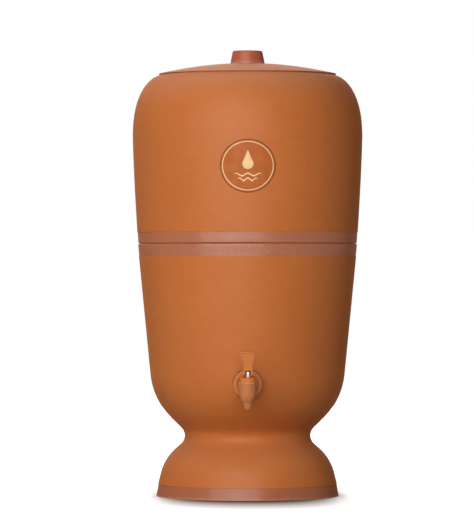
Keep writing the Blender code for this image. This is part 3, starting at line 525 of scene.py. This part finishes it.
def lathe(outline, sides, where, corners=(), bands=()):
    """Spin a (radius, height) outline about a place's Z axis. Faces in a band take its material
    slot, and the wear attribute is strongest at the corners."""
    form = bmesh.new()
    wear = form.verts.layers.float.new("wear")
    rings = []
    for point in outline:
        count = 1 if point.x < SAME_CORNER else sides
        nearest = min(((point - corner).length for corner in corners), default=math.inf)
        ring = []
        for side in range(count):
            angle = 2 * math.pi * side / sides
            spot = Vector((point.x * math.cos(angle), point.x * math.sin(angle), point.y))
            ring.append(form.verts.new(where @ spot))
            ring[-1][wear] = math.exp(-(nearest / WEAR_REACH) ** 2)
        rings.append(ring)
    pairs = list(zip(rings, rings[1:]))
    if not is_open(outline):
        pairs.append((rings[-1], rings[0]))
    for index, (low, high) in enumerate(pairs):
        slot = band_slot(bands, (outline[index] + outline[(index + 1) % len(outline)]) / 2)
        for side in range(sides):
            after = (side + 1) % sides
            face_corners = [low[side % len(low)], low[after % len(low)],
                            high[after % len(high)], high[side % len(high)]]
            unique = list(dict.fromkeys(face_corners))
            if len(unique) > 2:
                form.faces.new(unique).material_index = slot
    bmesh.ops.recalc_face_normals(form, faces=form.faces)
    return to_mesh(form)


def band_slot(bands, spot):
    """Material slot of the band that a (radius, height) spot is in, or 0."""
    held = (slot for low, high, radius, slot in bands if low < spot.y < high and spot.x > radius)
    return next(held, 0)


def to_mesh(form):
    mesh = bpy.data.meshes.new("shown")
    form.to_mesh(mesh)
    form.free()
    mesh.shade_smooth()
    return mesh


def creased(mesh):
    """Smooth shading, with creases at the sharp edges."""
    mesh.shade_smooth()
    mesh.set_sharp_from_angle(angle=CREASE_ANGLE)
    return mesh


def tube(radius, low, high, where):
    """A plain round tool along a place's Z axis."""
    corners = ((0, low), (radius, low), (radius, high), (0, high))
    return lathe([Vector(corner) for corner in corners], ROUND_SIDES, where)


def fine_lathe(outline, where, corners=()):
    """A small turned piece, with bevels and fair curves."""
    return lathe(curved(bevelled(outline, SMALL_BEVEL), SMALL_STEP), ROUND_SIDES, where, corners)


def loose(mesh):
    """A helper object that never shows."""
    made = bpy.data.objects.new("helper", mesh)
    bpy.context.scene.collection.objects.link(made)
    made.hide_render = True
    return made


def baked(thing):
    """The object's mesh with its modifiers applied."""
    graph = bpy.context.evaluated_depsgraph_get()
    return bpy.data.meshes.new_from_object(thing.evaluated_get(graph))


def combined(mesh, *changes):
    """Mesh after exact unions and differences, given as (operation, other mesh)."""
    base = loose(mesh)
    helpers = [base]
    for operation, other in changes:
        tool = loose(other)
        helpers.append(tool)
        step = base.modifiers.new(operation, 'BOOLEAN')
        step.operation = operation
        step.solver = 'EXACT'
        step.object = tool
    made = baked(base)
    for helper in helpers:
        bpy.data.objects.remove(helper)
    return made


def eased(mesh, voxel):
    """Re-mesh finely and ease the edges, as a moulding tool rounds them."""
    base = loose(mesh)
    weld = base.modifiers.new("weld", 'WELD')
    weld.merge_threshold = SAME_CORNER
    remesh = base.modifiers.new("remesh", 'REMESH')
    remesh.mode = 'VOXEL'
    remesh.voxel_size = voxel
    ease = base.modifiers.new("ease", 'SMOOTH')
    ease.factor = EASE_FACTOR
    ease.iterations = EASE_PASSES
    made = baked(base)
    bpy.data.objects.remove(base)
    made.shade_smooth()
    return made


# Pieces. A finish is the name of one of the materials that make_finishes makes.

def body_of(node):
    bodies = frame["record"]["behaviour"]["bodies"]
    return next(body for body, members in bodies.items() if node in members)


def dressed(mesh, *names):
    """Give a mesh its finishes, in slot order."""
    for name in names:
        mesh.materials.append(finishes[name])
    return mesh


def show(name, mesh, body):
    """A piece of the visual model, riding on a body."""
    made = bpy.data.objects.new(name, mesh)
    bpy.context.scene.collection.objects.link(made)
    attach(made, body)
    return made


def stand_for(node, mesh, *names):
    """Show a mesh in place of a CAD node."""
    dressed(mesh, *names)
    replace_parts(show(node + "_shown", mesh, body_of(node)), node)


def stand_turned(node, where, finish, facing=None):
    """Show a small turned node with a finer mesh."""
    outline = read_outline(node, where, facing)
    stand_for(node, fine_lathe(outline, where, outer_corners(outline)), finish)


def stand_moulded(node, voxel, finish):
    """Show a moulded node with eased edges."""
    blank = frame["nodes"][node].data.copy()
    blank.materials.clear()
    stand_for(node, eased(blank, voxel), finish)


def repaint(node, finish):
    """Keep a CAD node's shape, and give it a finish."""
    frame["nodes"][node].material_slots[0].material = finishes[finish]


# Shader nodes

def new_material(name, **constants):
    """A Principled material with its constant sockets set, and its tree and shader."""
    material = bpy.data.materials.new(name)
    material.use_nodes = True
    tree = material.node_tree
    shader = tree.nodes["Principled BSDF"]
    for socket, value in constants.items():
        shader.inputs[socket.replace("_", " ")].default_value = value
    return material, tree, shader


def add(tree, kind, inputs=None, **settings):
    """A node with settings, and inputs that are values or sockets to link from."""
    made = tree.nodes.new("ShaderNode" + kind)
    for name, value in settings.items():
        setattr(made, name, value)
    for socket, value in (inputs or {}).items():
        if isinstance(value, bpy.types.NodeSocket):
            tree.links.new(value, made.inputs[socket])
        else:
            made.inputs[socket].default_value = value
    return made


def object_coords(tree, stretch=EVEN):
    """Object coordinates in metres, drawn out by stretch."""
    coords = add(tree, "TexCoord").outputs["Object"]
    return add(tree, "Mapping", {"Vector": coords, "Scale": stretch}).outputs["Vector"]


def split(tree, vector):
    """The X, Y and Z outputs of a vector."""
    return add(tree, "SeparateXYZ", {"Vector": vector}).outputs


def pattern(tree, name):
    """One of the noise patterns."""
    scale, detail, roughness, stretch = PATTERNS[name]
    inputs = {"Vector": object_coords(tree, stretch), "Scale": scale, "Detail": detail,
              "Roughness": roughness}
    return add(tree, "TexNoise", inputs).outputs["Fac"]


def remap(tree, value, given, wanted):
    """Carry a value from one range over to another, and hold it at the ends."""
    inputs = {"Value": value, "From Min": given[0], "From Max": given[1],
              "To Min": wanted[0], "To Max": wanted[1]}
    return add(tree, "MapRange", inputs, clamp=True).outputs["Result"]


def cover(tree, value, span, most=1):
    """0 at the start of a span of the value, and most at its end."""
    return remap(tree, value, span, (0, most))


def math_of(tree, operation, first, second=0):
    return add(tree, "Math", {0: first, 1: second}, operation=operation).outputs[0]


def product(tree, first, second):
    return math_of(tree, 'MULTIPLY', first, second)


def total(tree, first, second):
    return math_of(tree, 'ADD', first, second)


def rest_of(tree, share):
    """What a share leaves of 1."""
    return math_of(tree, 'SUBTRACT', 1, share)


def mix(tree, factor, first, second):
    """Mix two colours, at the node's sockets 6 and 7. Its numbers are at 2 and 3."""
    return add(tree, "Mix", {0: factor, 6: first, 7: second}, data_type='RGBA').outputs[2]


def relief(tree, name, height, share=1, normal=None):
    """Bumps of a pattern, on top of the bumps that normal already has."""
    depth, strength = RELIEF[name]
    inputs = {"Height": height, "Distance": depth * share, "Strength": strength}
    if normal is not None:
        inputs["Normal"] = normal
    return add(tree, "Bump", inputs).outputs["Normal"]


def duller_edge_on(tree, rough, edge_on):
    """Roughness that rises where the surface turns away, as a dusty or waxed skin's does."""
    away = add(tree, "LayerWeight").outputs["Facing"]
    inputs = {0: cover(tree, away, TURNED_AWAY), 2: rough, 3: edge_on}
    return add(tree, "Mix", inputs, data_type='FLOAT').outputs[0]


def worn_edges(tree):
    """The wear that lathe leaves on its corners, and 0 on other meshes."""
    return add(tree, "Attribute", attribute_name="wear").outputs["Fac"]


def srgb(red, green, blue):
    """A display colour, 0 to 255, as scene-linear values."""
    shares = [channel / 255 for channel in (red, green, blue)]
    return (*(((share + 0.055) / 1.055) ** 2.4 for share in shares), 1)


def finish_with(tree, shader, colour, roughness, normal):
    """Link a finish's colour, roughness and relief to its shader."""
    tree.links.new(colour, shader.inputs["Base Color"])
    tree.links.new(roughness, shader.inputs["Roughness"])
    tree.links.new(normal, shader.inputs["Normal"])


# Finishes

def clay(name, pale, deep, worn, roughness, edge_on, specular, grain):
    """Fired clay: soft patches, fine grit, faint turning marks, paler worn edges that at the seam are
    also a painted highlight, and a little dust where it faces up, with a painted sheen of top light there."""
    material, tree, shader = new_material(name, Specular_IOR_Level=specular)
    patches = pattern(tree, "clay_patches")
    mottle = pattern(tree, "clay_mottle")
    grit = pattern(tree, "clay_grit")
    marks = pattern(tree, "turning_marks")
    tone = total(tree, cover(tree, patches, MOST, PATCH_SHARE), cover(tree, mottle, MOST, MOTTLE_SHARE))
    colour = mix(tree, tone, srgb(*deep), srgb(*pale))
    dark = cover(tree, grit, DARK_GRAIN_SPAN, DARK_GRAIN_COVER * grain)
    colour = mix(tree, dark, colour, srgb(*DARK_GRAIN_COLOUR))
    light = cover(tree, grit, PALE_GRAIN_SPAN, PALE_GRAIN_COVER * grain)
    colour = mix(tree, light, colour, srgb(*PALE_GRAIN_COLOUR))
    colour = mix(tree, cover(tree, marks, MARK_SPAN, MARK_COVER), colour, srgb(*deep))
    # Paler edges: wear, and at the seam a painted highlight
    worn_and_highlit_edges = cover(tree, total(tree, worn_edges(tree), mottle), WORN_SPAN, WORN_COVER)
    colour = mix(tree, worn_and_highlit_edges, colour, srgb(*worn))
    # A paler colour where the clay faces up: partly dust, partly a painted sheen of top light
    colour = mix(tree, dust_and_sheen_on(tree, grit), colour, srgb(*DUST_AND_SHEEN_COLOUR))
    play = (roughness - CLAY_ROUGHNESS_PLAY, roughness + CLAY_ROUGHNESS_PLAY)
    rough = total(tree, remap(tree, mottle, MOST, play),
                  cover(tree, worn_and_highlit_edges, (0, WORN_COVER), WORN_ROUGHER))
    normal = relief(tree, "clay_grit", grit, grain)
    normal = relief(tree, "turning_marks", marks, normal=normal)
    normal = relief(tree, "clay_mottle", mottle, normal=normal)
    finish_with(tree, shader, colour, duller_edge_on(tree, rough, edge_on), normal)
    return material


def dust_and_sheen_on(tree, grit):
    """How much dust and painted sheen lies here: dust and a painted sheen of top light where the clay
    faces up, more of them high on the tanks than low down, where the belly above shades the foot, and a
    little dust everywhere.
    """
    upward = split(tree, add(tree, "NewGeometry").outputs["Normal"])["Z"]
    height = split(tree, object_coords(tree))["Z"]
    # Painted sheen on upward faces, weaker low down where the belly above shades the foot
    dust_and_sheen_above = product(tree, cover(tree, upward, DUST_AND_SHEEN_SLOPE, DUST_AND_SHEEN_COVER),
                      remap(tree, height, DUST_AND_SHEEN_HEIGHT, (DUST_AND_SHEEN_LOW_SHARE, 1)))
    return total(tree, dust_and_sheen_above, cover(tree, grit, MOST, DUST_EVERYWHERE))


def moulded(name, colour, deep, roughness, specular):
    """Moulded plastic: faint flow in its colour, a fine skin and light handling marks."""
    material, tree, shader = new_material(name, Specular_IOR_Level=specular)
    flow = pattern(tree, "plastic_flow")
    skin = pattern(tree, "plastic_skin")
    rubs = pattern(tree, "handling_rubs")
    tone = mix(tree, cover(tree, flow, MOST), srgb(*colour), srgb(*deep))
    tone = mix(tree, product(tree, worn_edges(tree), PLASTIC_WEAR), tone, srgb(*PLASTIC_WORN))
    rough = remap(tree, rubs, RUB_SPAN, (roughness - RUB_SMOOTHER, roughness + RUB_ROUGHER))
    rough = duller_edge_on(tree, rough, PLASTIC_EDGE_ON)
    finish_with(tree, shader, tone, rough, relief(tree, "plastic_skin", skin))
    return material


def porous(name, colour, deep, pore_pattern):
    """An open-pored block, such as a candle's ceramic or its carbon."""
    material, tree, shader = new_material(name, Specular_IOR_Level=POROUS_SPECULAR)
    pores = pattern(tree, pore_pattern)
    clouds = pattern(tree, "block_clouds")
    tone = total(tree, product(tree, remap(tree, pores, PORE_SPAN, (1, 0)), PORE_SHARE),
                 cover(tree, clouds, MOST, CLOUD_SHARE))
    finish_with(tree, shader, mix(tree, tone, srgb(*colour), srgb(*deep)),
                remap(tree, clouds, MOST, POROUS_ROUGHNESS), relief(tree, pore_pattern, pores))
    return material


def rubber(name):
    """Black rubber with a bloom of dust and a faint mould skin."""
    material, tree, shader = new_material(name, Specular_IOR_Level=RUBBER_SPECULAR)
    bloom = pattern(tree, "rubber_bloom")
    skin = pattern(tree, "rubber_skin")
    dusty = cover(tree, bloom, BLOOM_SPAN, BLOOM_COVER)
    finish_with(tree, shader, mix(tree, dusty, srgb(*RUBBER_COLOUR), srgb(*BLOOM_COLOUR)),
                remap(tree, bloom, MOST, RUBBER_ROUGHNESS), relief(tree, "rubber_skin", skin))
    return material


def metal(name, colour, tarnished, roughness, ring_share):
    """Turned metal: fine rings left by the tool, and small uneven tarnish."""
    material, tree, shader = new_material(name, Metallic=1)
    tarnish = pattern(tree, "tarnish")
    rings = pattern(tree, "tool_rings")
    tone = mix(tree, cover(tree, tarnish, TARNISH_SPAN), srgb(*colour), srgb(*tarnished))
    rough = remap(tree, tarnish, DULLED_SPAN, (roughness, roughness + DULLED_ROUGHER))
    finish_with(tree, shader, tone, rough, relief(tree, "tool_rings", rings, ring_share))
    return material


def print_ink(name, colour, deep, roughness):
    """Ceramic transfer ink: nearly even, with soft clouds and pinholes."""
    material, tree, shader = new_material(name, Specular_IOR_Level=INK_SPECULAR)
    clouds = pattern(tree, "ink_clouds")
    pinholes = pattern(tree, "pinholes")
    tone = mix(tree, cover(tree, clouds, MOST, INK_CLOUD), srgb(*colour), srgb(*deep))
    bare = cover(tree, pinholes, PINHOLE_SPAN, PINHOLE_COVER)
    rough = remap(tree, clouds, MOST, (roughness - INK_SMOOTHER, roughness + INK_ROUGHER))
    finish_with(tree, shader, mix(tree, bare, tone, srgb(*PINHOLE_COLOUR)), rough,
                relief(tree, "pinholes", pinholes))
    return material


def make_finishes():
    """Every material of the filter, by name."""
    made = {"black_rubber": rubber("black_rubber")}
    kinds = ((clay, CLAYS), (moulded, PLASTICS), (porous, BLOCKS), (metal, METALS), (print_ink, INKS))
    for make, table in kinds:
        for name, facts in table.items():
            made[name] = make(name, *facts)
    return made


# The tanks and the lid

def vessel_mesh(node, where, facing=None):
    """A clay piece turned finely from its outline, with burnished bands. The foot band's step is
    drawn a little higher than the CAD has it."""
    outline = read_outline(node, where, facing)
    if node == "lower_vessel":
        for point in outline:
            if abs(point.y - BAND_STEP) < STEP_NEAR:
                point.y += SHOWN_STEP - BAND_STEP
    bands = BANDS.get(node, ())
    steps = [edge for low, high, *_ in bands for edge in (low, high)]
    # Paler worn corners, which at the seam also paint a highlight; band steps stay unworn
    worn = [corner for corner in outer_corners(outline)
            if all(abs(corner.y - step) > STEP_REACH for step in steps)]
    points = curved(bevelled(outline, CLAY_BEVEL), VESSEL_STEP)
    return lathe(points, VESSEL_SIDES, where, worn, bands)


def half_thickness(node):
    """Half a shank ring's thickness plus the gap that keeps it off the clay."""
    outline = read_outline(node, shank_place(node))
    return max(point.y for point in outline) + SEAT_GAP


def make_lower_vessel(tanks):
    """The lower tank, spot-faced and bored for the tap. Its outline is read at the back, where
    the tap's cuts aren't."""
    outside = shank_place("tap_gasket")
    inside = shank_place("tap_inner_washer")
    seat = -half_thickness("tap_gasket")
    inner_seat = half_thickness("tap_inner_washer")
    across_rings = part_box("tap_gasket")[1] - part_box("tap_inner_washer")[0]
    reach = NECK_REACH + across_rings.length
    blank = dressed(vessel_mesh("lower_vessel", tanks, Vector((0, 1))),
                    "fired_clay", "burnished_clay", "foot_band_clay")
    mesh = combined(blank,
                    ('DIFFERENCE', tube(SEAT_RADIUS, seat, reach, outside)),
                    ('DIFFERENCE', tube(INNER_SEAT_RADIUS, -reach, inner_seat, inside)),
                    ('DIFFERENCE', tube(SHANK_HOLE_RADIUS, -reach, reach, outside)))
    stand_for("lower_vessel", creased(mesh))


def make_tanks(tanks):
    make_lower_vessel(tanks)
    stand_for("upper_vessel", vessel_mesh("upper_vessel", tanks), "fired_clay", "burnished_clay")
    stand_for("lid", vessel_mesh("lid", tanks), "lid_clay")
    stand_turned("lid_knob", tanks, "knob_brown")
    stand_turned("lid_screw_washer", tanks, "turned_steel")
    stand_turned("lid_screw", tanks, "turned_steel")


# The tap

def hollow_outline(outline):
    """The closed space inside a bored body's outline, run out past both mouths."""
    top = max(outline, key=lambda point: (round(point.y, LEVEL_DIGITS), -point.x))
    foot = min(outline, key=lambda point: (round(point.y, LEVEL_DIGITS), point.x))
    first = outline.index(top)
    inner = []
    for offset in range(len(outline)):
        point = outline[(first + offset) % len(outline)]
        inner.append(point)
        if point == foot:
            break
    inner.reverse()
    low = Vector((inner[0].x, inner[0].y - CUT_MARGIN))
    high = Vector((inner[-1].x, inner[-1].y + CUT_MARGIN))
    return [Vector((0, low.y)), low] + inner + [high, Vector((0, high.y))]


def neck_outline(flange, reach):
    """Flange and shank without their bore, with a neck that reaches the stem's axis."""
    outer = [point for point in flange if point.x > WATERWAY_RADIUS + SAME_CORNER]
    if outer[0].y > outer[-1].y:
        outer.reverse()
    tip = [Vector((NECK_TIP_RADIUS, reach)), Vector((0, reach))]
    return [Vector((0, outer[0].y))] + outer + tip


def make_tap_body():
    """Body and spout turned about the stem, and flange, neck and shank about the shank's axis. The
    body is read on the side away from the neck, and the flange from its side, short of the body."""
    stem = stem_place()
    shank = shank_place("tap_gasket")
    reach = (shank.inverted() @ stem.translation).z
    body = read_outline("tap_body", stem, Vector((0, -1)))
    flange = read_outline("tap_body", shank, Vector((1, 0)), top=NECK_REACH / 2)
    bore_end = flange[0] if flange[0].x < flange[-1].x else flange[-1]
    body_mesh = fine_lathe(body, stem)
    neck_mesh = fine_lathe(neck_outline(flange, reach), shank)
    chamber = lathe(hollow_outline(body), ROUND_SIDES, stem)
    neck_mesh = combined(neck_mesh, ('DIFFERENCE', chamber))
    waterway = tube(WATERWAY_RADIUS, bore_end.y - NECK_REACH, reach, shank)
    whole = combined(body_mesh, ('UNION', neck_mesh), ('DIFFERENCE', waterway))
    stand_for("tap_body", eased(whole, TAP_VOXEL), "tap_terracotta")


def make_tap():
    """Every piece of the tap. The stem is read clear of the pin's hole, which runs across."""
    stem = stem_place()
    make_tap_body()
    stand_moulded("tap_lever", LEVER_VOXEL, "lever_terracotta")
    stand_moulded("tap_nut", INNER_VOXEL, "white_moulding")
    stand_turned("tap_bonnet", stem, "bonnet_orange")
    stand_turned("tap_stem", stem, "chrome_with_painted_warm_reflection", Vector((0, 1)))
    stand_turned("tap_seat_cup", stem, "black_rubber")
    for node in ("tap_gasket", "tap_inner_washer"):
        stand_turned(node, shank_place(node), "black_rubber")
    repaint("tap_lever_pin", "turned_steel")


# The candle and the float valve

def make_inside(tanks):
    stand_turned("candle_shell", tanks, "candle_ceramic_body")
    stand_turned("candle_carbon_core", tanks, "pressed_carbon")
    stand_turned("candle_base", tanks, "white_moulding")
    stand_turned("candle_gasket", tanks, "black_rubber")
    stand_turned("candle_washer", tanks, "black_rubber")
    stand_turned("float", float_place(), "float_moulding")
    for node in ("candle_wing_nut", "float_valve_body", "float_arm"):
        stand_moulded(node, INNER_VOXEL, "white_moulding")
    repaint("float_pivot_pin", "turned_steel")
    repaint("float_seal", "black_rubber")


# The badge. A spread turns (along, across), both from 0 to 1, into a place on the flat badge.

def oval(outer_inset, inner_inset=None):
    """Spread of an oval ring between two insets from the badge's edge, or of a filled oval."""
    half_width = BADGE_HALF_WIDTH - outer_inset
    half_height = BADGE_HALF_HEIGHT - outer_inset
    inner_width = 0 if inner_inset is None else BADGE_HALF_WIDTH - inner_inset
    inner_height = 0 if inner_inset is None else BADGE_HALF_HEIGHT - inner_inset

    def spread(along, across):
        angle = 2 * math.pi * along
        return (math.cos(angle) * (inner_width + (half_width - inner_width) * across),
                math.sin(angle) * (inner_height + (half_height - inner_height) * across))
    return spread


def drop(along, across):
    """Spread of a falling drop: a circle drawn up to a point."""
    angle = 2 * math.pi * along
    lift = math.sin(angle)
    pull = max(0.0, lift) ** 3 * DROP_TAIL
    narrow = 1 - DROP_NARROWING * max(0.0, lift) ** 2
    return (across * DROP_RADIUS * math.cos(angle) * narrow,
            DROP_CENTRE + across * DROP_RADIUS * (lift + pull))


def wave(row_height, length_share):
    """Spread of one wavy line that thins towards its ends."""
    def spread(along, across):
        run = 2 * along - 1
        swell = WAVE_HEIGHT * math.sin(2 * math.pi * WAVE_COUNT * along)
        width = WAVE_WIDTH * (1 - run ** 4)
        return run * WAVE_HALF * length_share, row_height + swell + (across - 0.5) * width
    return spread


def wall_radius(outline, height):
    """Outer radius of a tank at a height."""
    found = 0.0
    for start, end in zip(outline, outline[1:]):
        if start.y <= height <= end.y and end.y > start.y:
            found = max(found, start.x + (end.x - start.x) * (height - start.y) / (end.y - start.y))
    return found


def wall_sheet(wall, spread, columns, rows, lift, ring):
    """A spread laid on the tank's front wall, as a mesh that faces forward. A ring closes on
    itself."""
    tanks = tank_place()
    radius_here = wall_radius(wall, BADGE_HEIGHT)
    form = bmesh.new()
    grid = []
    for row in range(rows + 1):
        line = []
        for column in range(columns if ring else columns + 1):
            across, up = spread(column / columns, row / rows)
            angle = across / radius_here
            radius = wall_radius(wall, BADGE_HEIGHT + up) + lift
            spot = Vector((radius * math.sin(angle), -radius * math.cos(angle), BADGE_HEIGHT + up))
            line.append(form.verts.new(tanks @ spot))
        grid.append(line)
    for low, high in zip(grid, grid[1:]):
        for column in range(columns):
            after = (column + 1) % len(low)
            form.faces.new((low[column], low[after], high[after], high[column]))
    bmesh.ops.remove_doubles(form, verts=form.verts, dist=SAME_CORNER)
    bmesh.ops.recalc_face_normals(form, faces=form.faces)
    if sum(face.normal.y for face in form.faces) > 0:
        bmesh.ops.reverse_faces(form, faces=form.faces)
    return to_mesh(form)


def badge_sheet(name, finish, wall, spread, columns, rows, lift=PRINT_LIFT, ring=True):
    """A thin sheet of the badge, standing just off the wall."""
    sheet = loose(wall_sheet(wall, spread, columns, rows, lift, ring))
    solid = sheet.modifiers.new("thickness", 'SOLIDIFY')
    solid.thickness = SHEET_THICKNESS
    solid.offset = -1
    mesh = baked(sheet)
    bpy.data.objects.remove(sheet)
    show(name, dressed(creased(mesh), finish), "upper")


def make_badge(tanks):
    wall = curved(read_outline("upper_vessel", tanks), VESSEL_STEP)
    plate = oval(BADGE_RIM / 2)
    rim = oval(0, BADGE_RIM)
    line = oval(BADGE_LINE_INSET, BADGE_LINE_INSET + BADGE_LINE)
    badge_sheet("badge_plate", "badge_amber", wall, plate, OVAL_COLUMNS, PLATE_ROWS, PLATE_LIFT)
    badge_sheet("badge_rim", "badge_brown", wall, rim, OVAL_COLUMNS, LINE_ROWS)
    badge_sheet("badge_line", "badge_cream", wall, line, OVAL_COLUMNS, LINE_ROWS)
    badge_sheet("badge_drop", "badge_cream", wall, drop, PRINT_COLUMNS, DROP_ROWS)
    for number, row in enumerate(WAVE_ROWS, 1):
        badge_sheet(f"badge_wave_{number}", "badge_cream", wall, wave(*row), PRINT_COLUMNS, LINE_ROWS,
                    ring=False)


# The studio

def make_softbox(name, azimuth, elevation, distance, width, height, watts, target):
    """A softbox. Azimuth 0 is on the camera's side, and positive is to its right."""
    lamp = bpy.data.lights.new(name, 'AREA')
    lamp.shape = 'RECTANGLE'
    lamp.size = width
    lamp.size_y = height
    lamp.energy = watts
    made = bpy.data.objects.new(name, lamp)
    bpy.context.scene.collection.objects.link(made)
    turn, rise = math.radians(azimuth), math.radians(elevation)
    away = Vector((math.sin(turn) * math.cos(rise), -math.cos(turn) * math.cos(rise), math.sin(rise)))
    made.location = target + away * distance
    made.rotation_euler = away.to_track_quat('Z', 'Y').to_euler()


def make_lights(target):
    """All the softboxes, turned to one target."""
    for softbox in SOFTBOXES:
        make_softbox(*softbox, target)


def seen_directly(tree):
    """1 for rays that see a background straight from the camera, a reflection or through glass."""
    path = add(tree, "LightPath").outputs
    either = math_of(tree, 'MAXIMUM', path["Is Camera Ray"], path["Is Glossy Ray"])
    return math_of(tree, 'MAXIMUM', either, path["Is Transmission Ray"])


def make_world():
    """White where it is seen, and a weak even fill on the object."""
    world = bpy.data.worlds.new("studio")
    bpy.context.scene.world = world
    world.use_nodes = True
    tree = world.node_tree
    background = tree.nodes["Background"]
    background.inputs["Color"].default_value = (1, 1, 1, 1)
    strength = remap(tree, seen_directly(tree), (0, 1), (FILL, 1))
    tree.links.new(strength, background.inputs["Strength"])


def painted_foot_shadow(tree, tanks):
    """The soft shadow painted on the floor forward of the foot: 1 under the foot's middle, 0 where it
    ends.
    """
    here = split(tree, object_coords(tree))
    behind = math_of(tree, 'SUBTRACT', here["Y"], tanks.translation.y)
    chord = math_of(tree, 'SUBTRACT', SHADE_EDGE ** 2, math_of(tree, 'POWER', here["X"], 2))
    edge = math_of(tree, 'SQRT', math_of(tree, 'MAXIMUM', chord, 0))
    ahead = product(tree, total(tree, behind, edge), -1)
    aside = math_of(tree, 'DIVIDE', math_of(tree, 'ABSOLUTE', here["X"]), SHADE_SIDE)
    aside = math_of(tree, 'MINIMUM', math_of(tree, 'POWER', aside, SHADE_SIDE_POWER), 1)
    shade = product(tree, remap(tree, ahead, SHADE_FORWARD, (1, 0)), rest_of(tree, aside))
    return product(tree, shade, remap(tree, behind, SHADE_BACK, (1, 0)))


def make_floor(tanks):
    """A pale floor. Rays that see it find it white but for the painted shadows under and before the
    foot, and rays that light the object find it darker, so that it throws little light up."""
    form = bmesh.new()
    bmesh.ops.create_grid(form, x_segments=FLOOR_CELLS, y_segments=FLOOR_CELLS, size=FLOOR_HALF)
    floor = bpy.data.objects.new("floor", to_mesh(form))
    bpy.context.scene.collection.objects.link(floor)
    material = bpy.data.materials.new("pale_floor")
    material.use_nodes = True
    tree = material.node_tree
    tree.nodes.clear()
    nearness = {"Distance": CONTACT_REACH}
    contact = add(tree, "AmbientOcclusion", nearness, samples=CONTACT_SAMPLES).outputs["AO"]
    # Painted shadow: the floor's seen tone and glow are darkened under and before the foot
    lit = product(tree, rest_of(tree, painted_foot_shadow(tree, tanks)),
                  remap(tree, contact, CONTACT_SPAN, (CONTACT_LEFT, 1)))
    seen = seen_directly(tree)
    tone = mix(tree, seen, FLOOR_BOUNCE, FLOOR_SEEN)
    tone = mix(tree, product(tree, seen, rest_of(tree, lit)), tone, FLOOR_SHADED)
    paper = add(tree, "BsdfDiffuse", {"Color": tone})
    away = add(tree, "VectorMath", {0: object_coords(tree)}, operation='LENGTH').outputs["Value"]
    level = remap(tree, away, GLOW_SPREAD, (GLOW_NEAR, GLOW_FAR))
    power = product(tree, product(tree, lit, seen), level)
    glow = add(tree, "Emission", {"Color": (1, 1, 1, 1), "Strength": power})
    both = add(tree, "AddShader", {0: paper.outputs[0], 1: glow.outputs[0]})
    output = add(tree, "OutputMaterial", {"Surface": both.outputs[0]})
    output.is_active_output = True
    floor.data.materials.append(material)


def make_camera(tanks):
    """A level camera that looks straight back at the tanks."""
    lens = bpy.data.cameras.new("camera")
    lens.lens = LENS
    lens.sensor_width = SENSOR
    camera = bpy.data.objects.new("camera", lens)
    bpy.context.scene.collection.objects.link(camera)
    camera.location = (EYE_ACROSS, tanks.translation.y - EYE_DISTANCE, EYE_HEIGHT)
    camera.rotation_euler = (math.pi / 2, 0, 0)
    bpy.context.scene.camera = camera


finishes = make_finishes()
on_ground = tank_place()
make_tanks(on_ground)
make_tap()
make_inside(on_ground)
make_badge(on_ground)
make_camera(on_ground)
make_floor(on_ground)
make_world()
make_lights(on_ground.translation + Vector((0, 0, EYE_HEIGHT)))
bpy.context.scene.view_settings.view_transform = 'Standard'
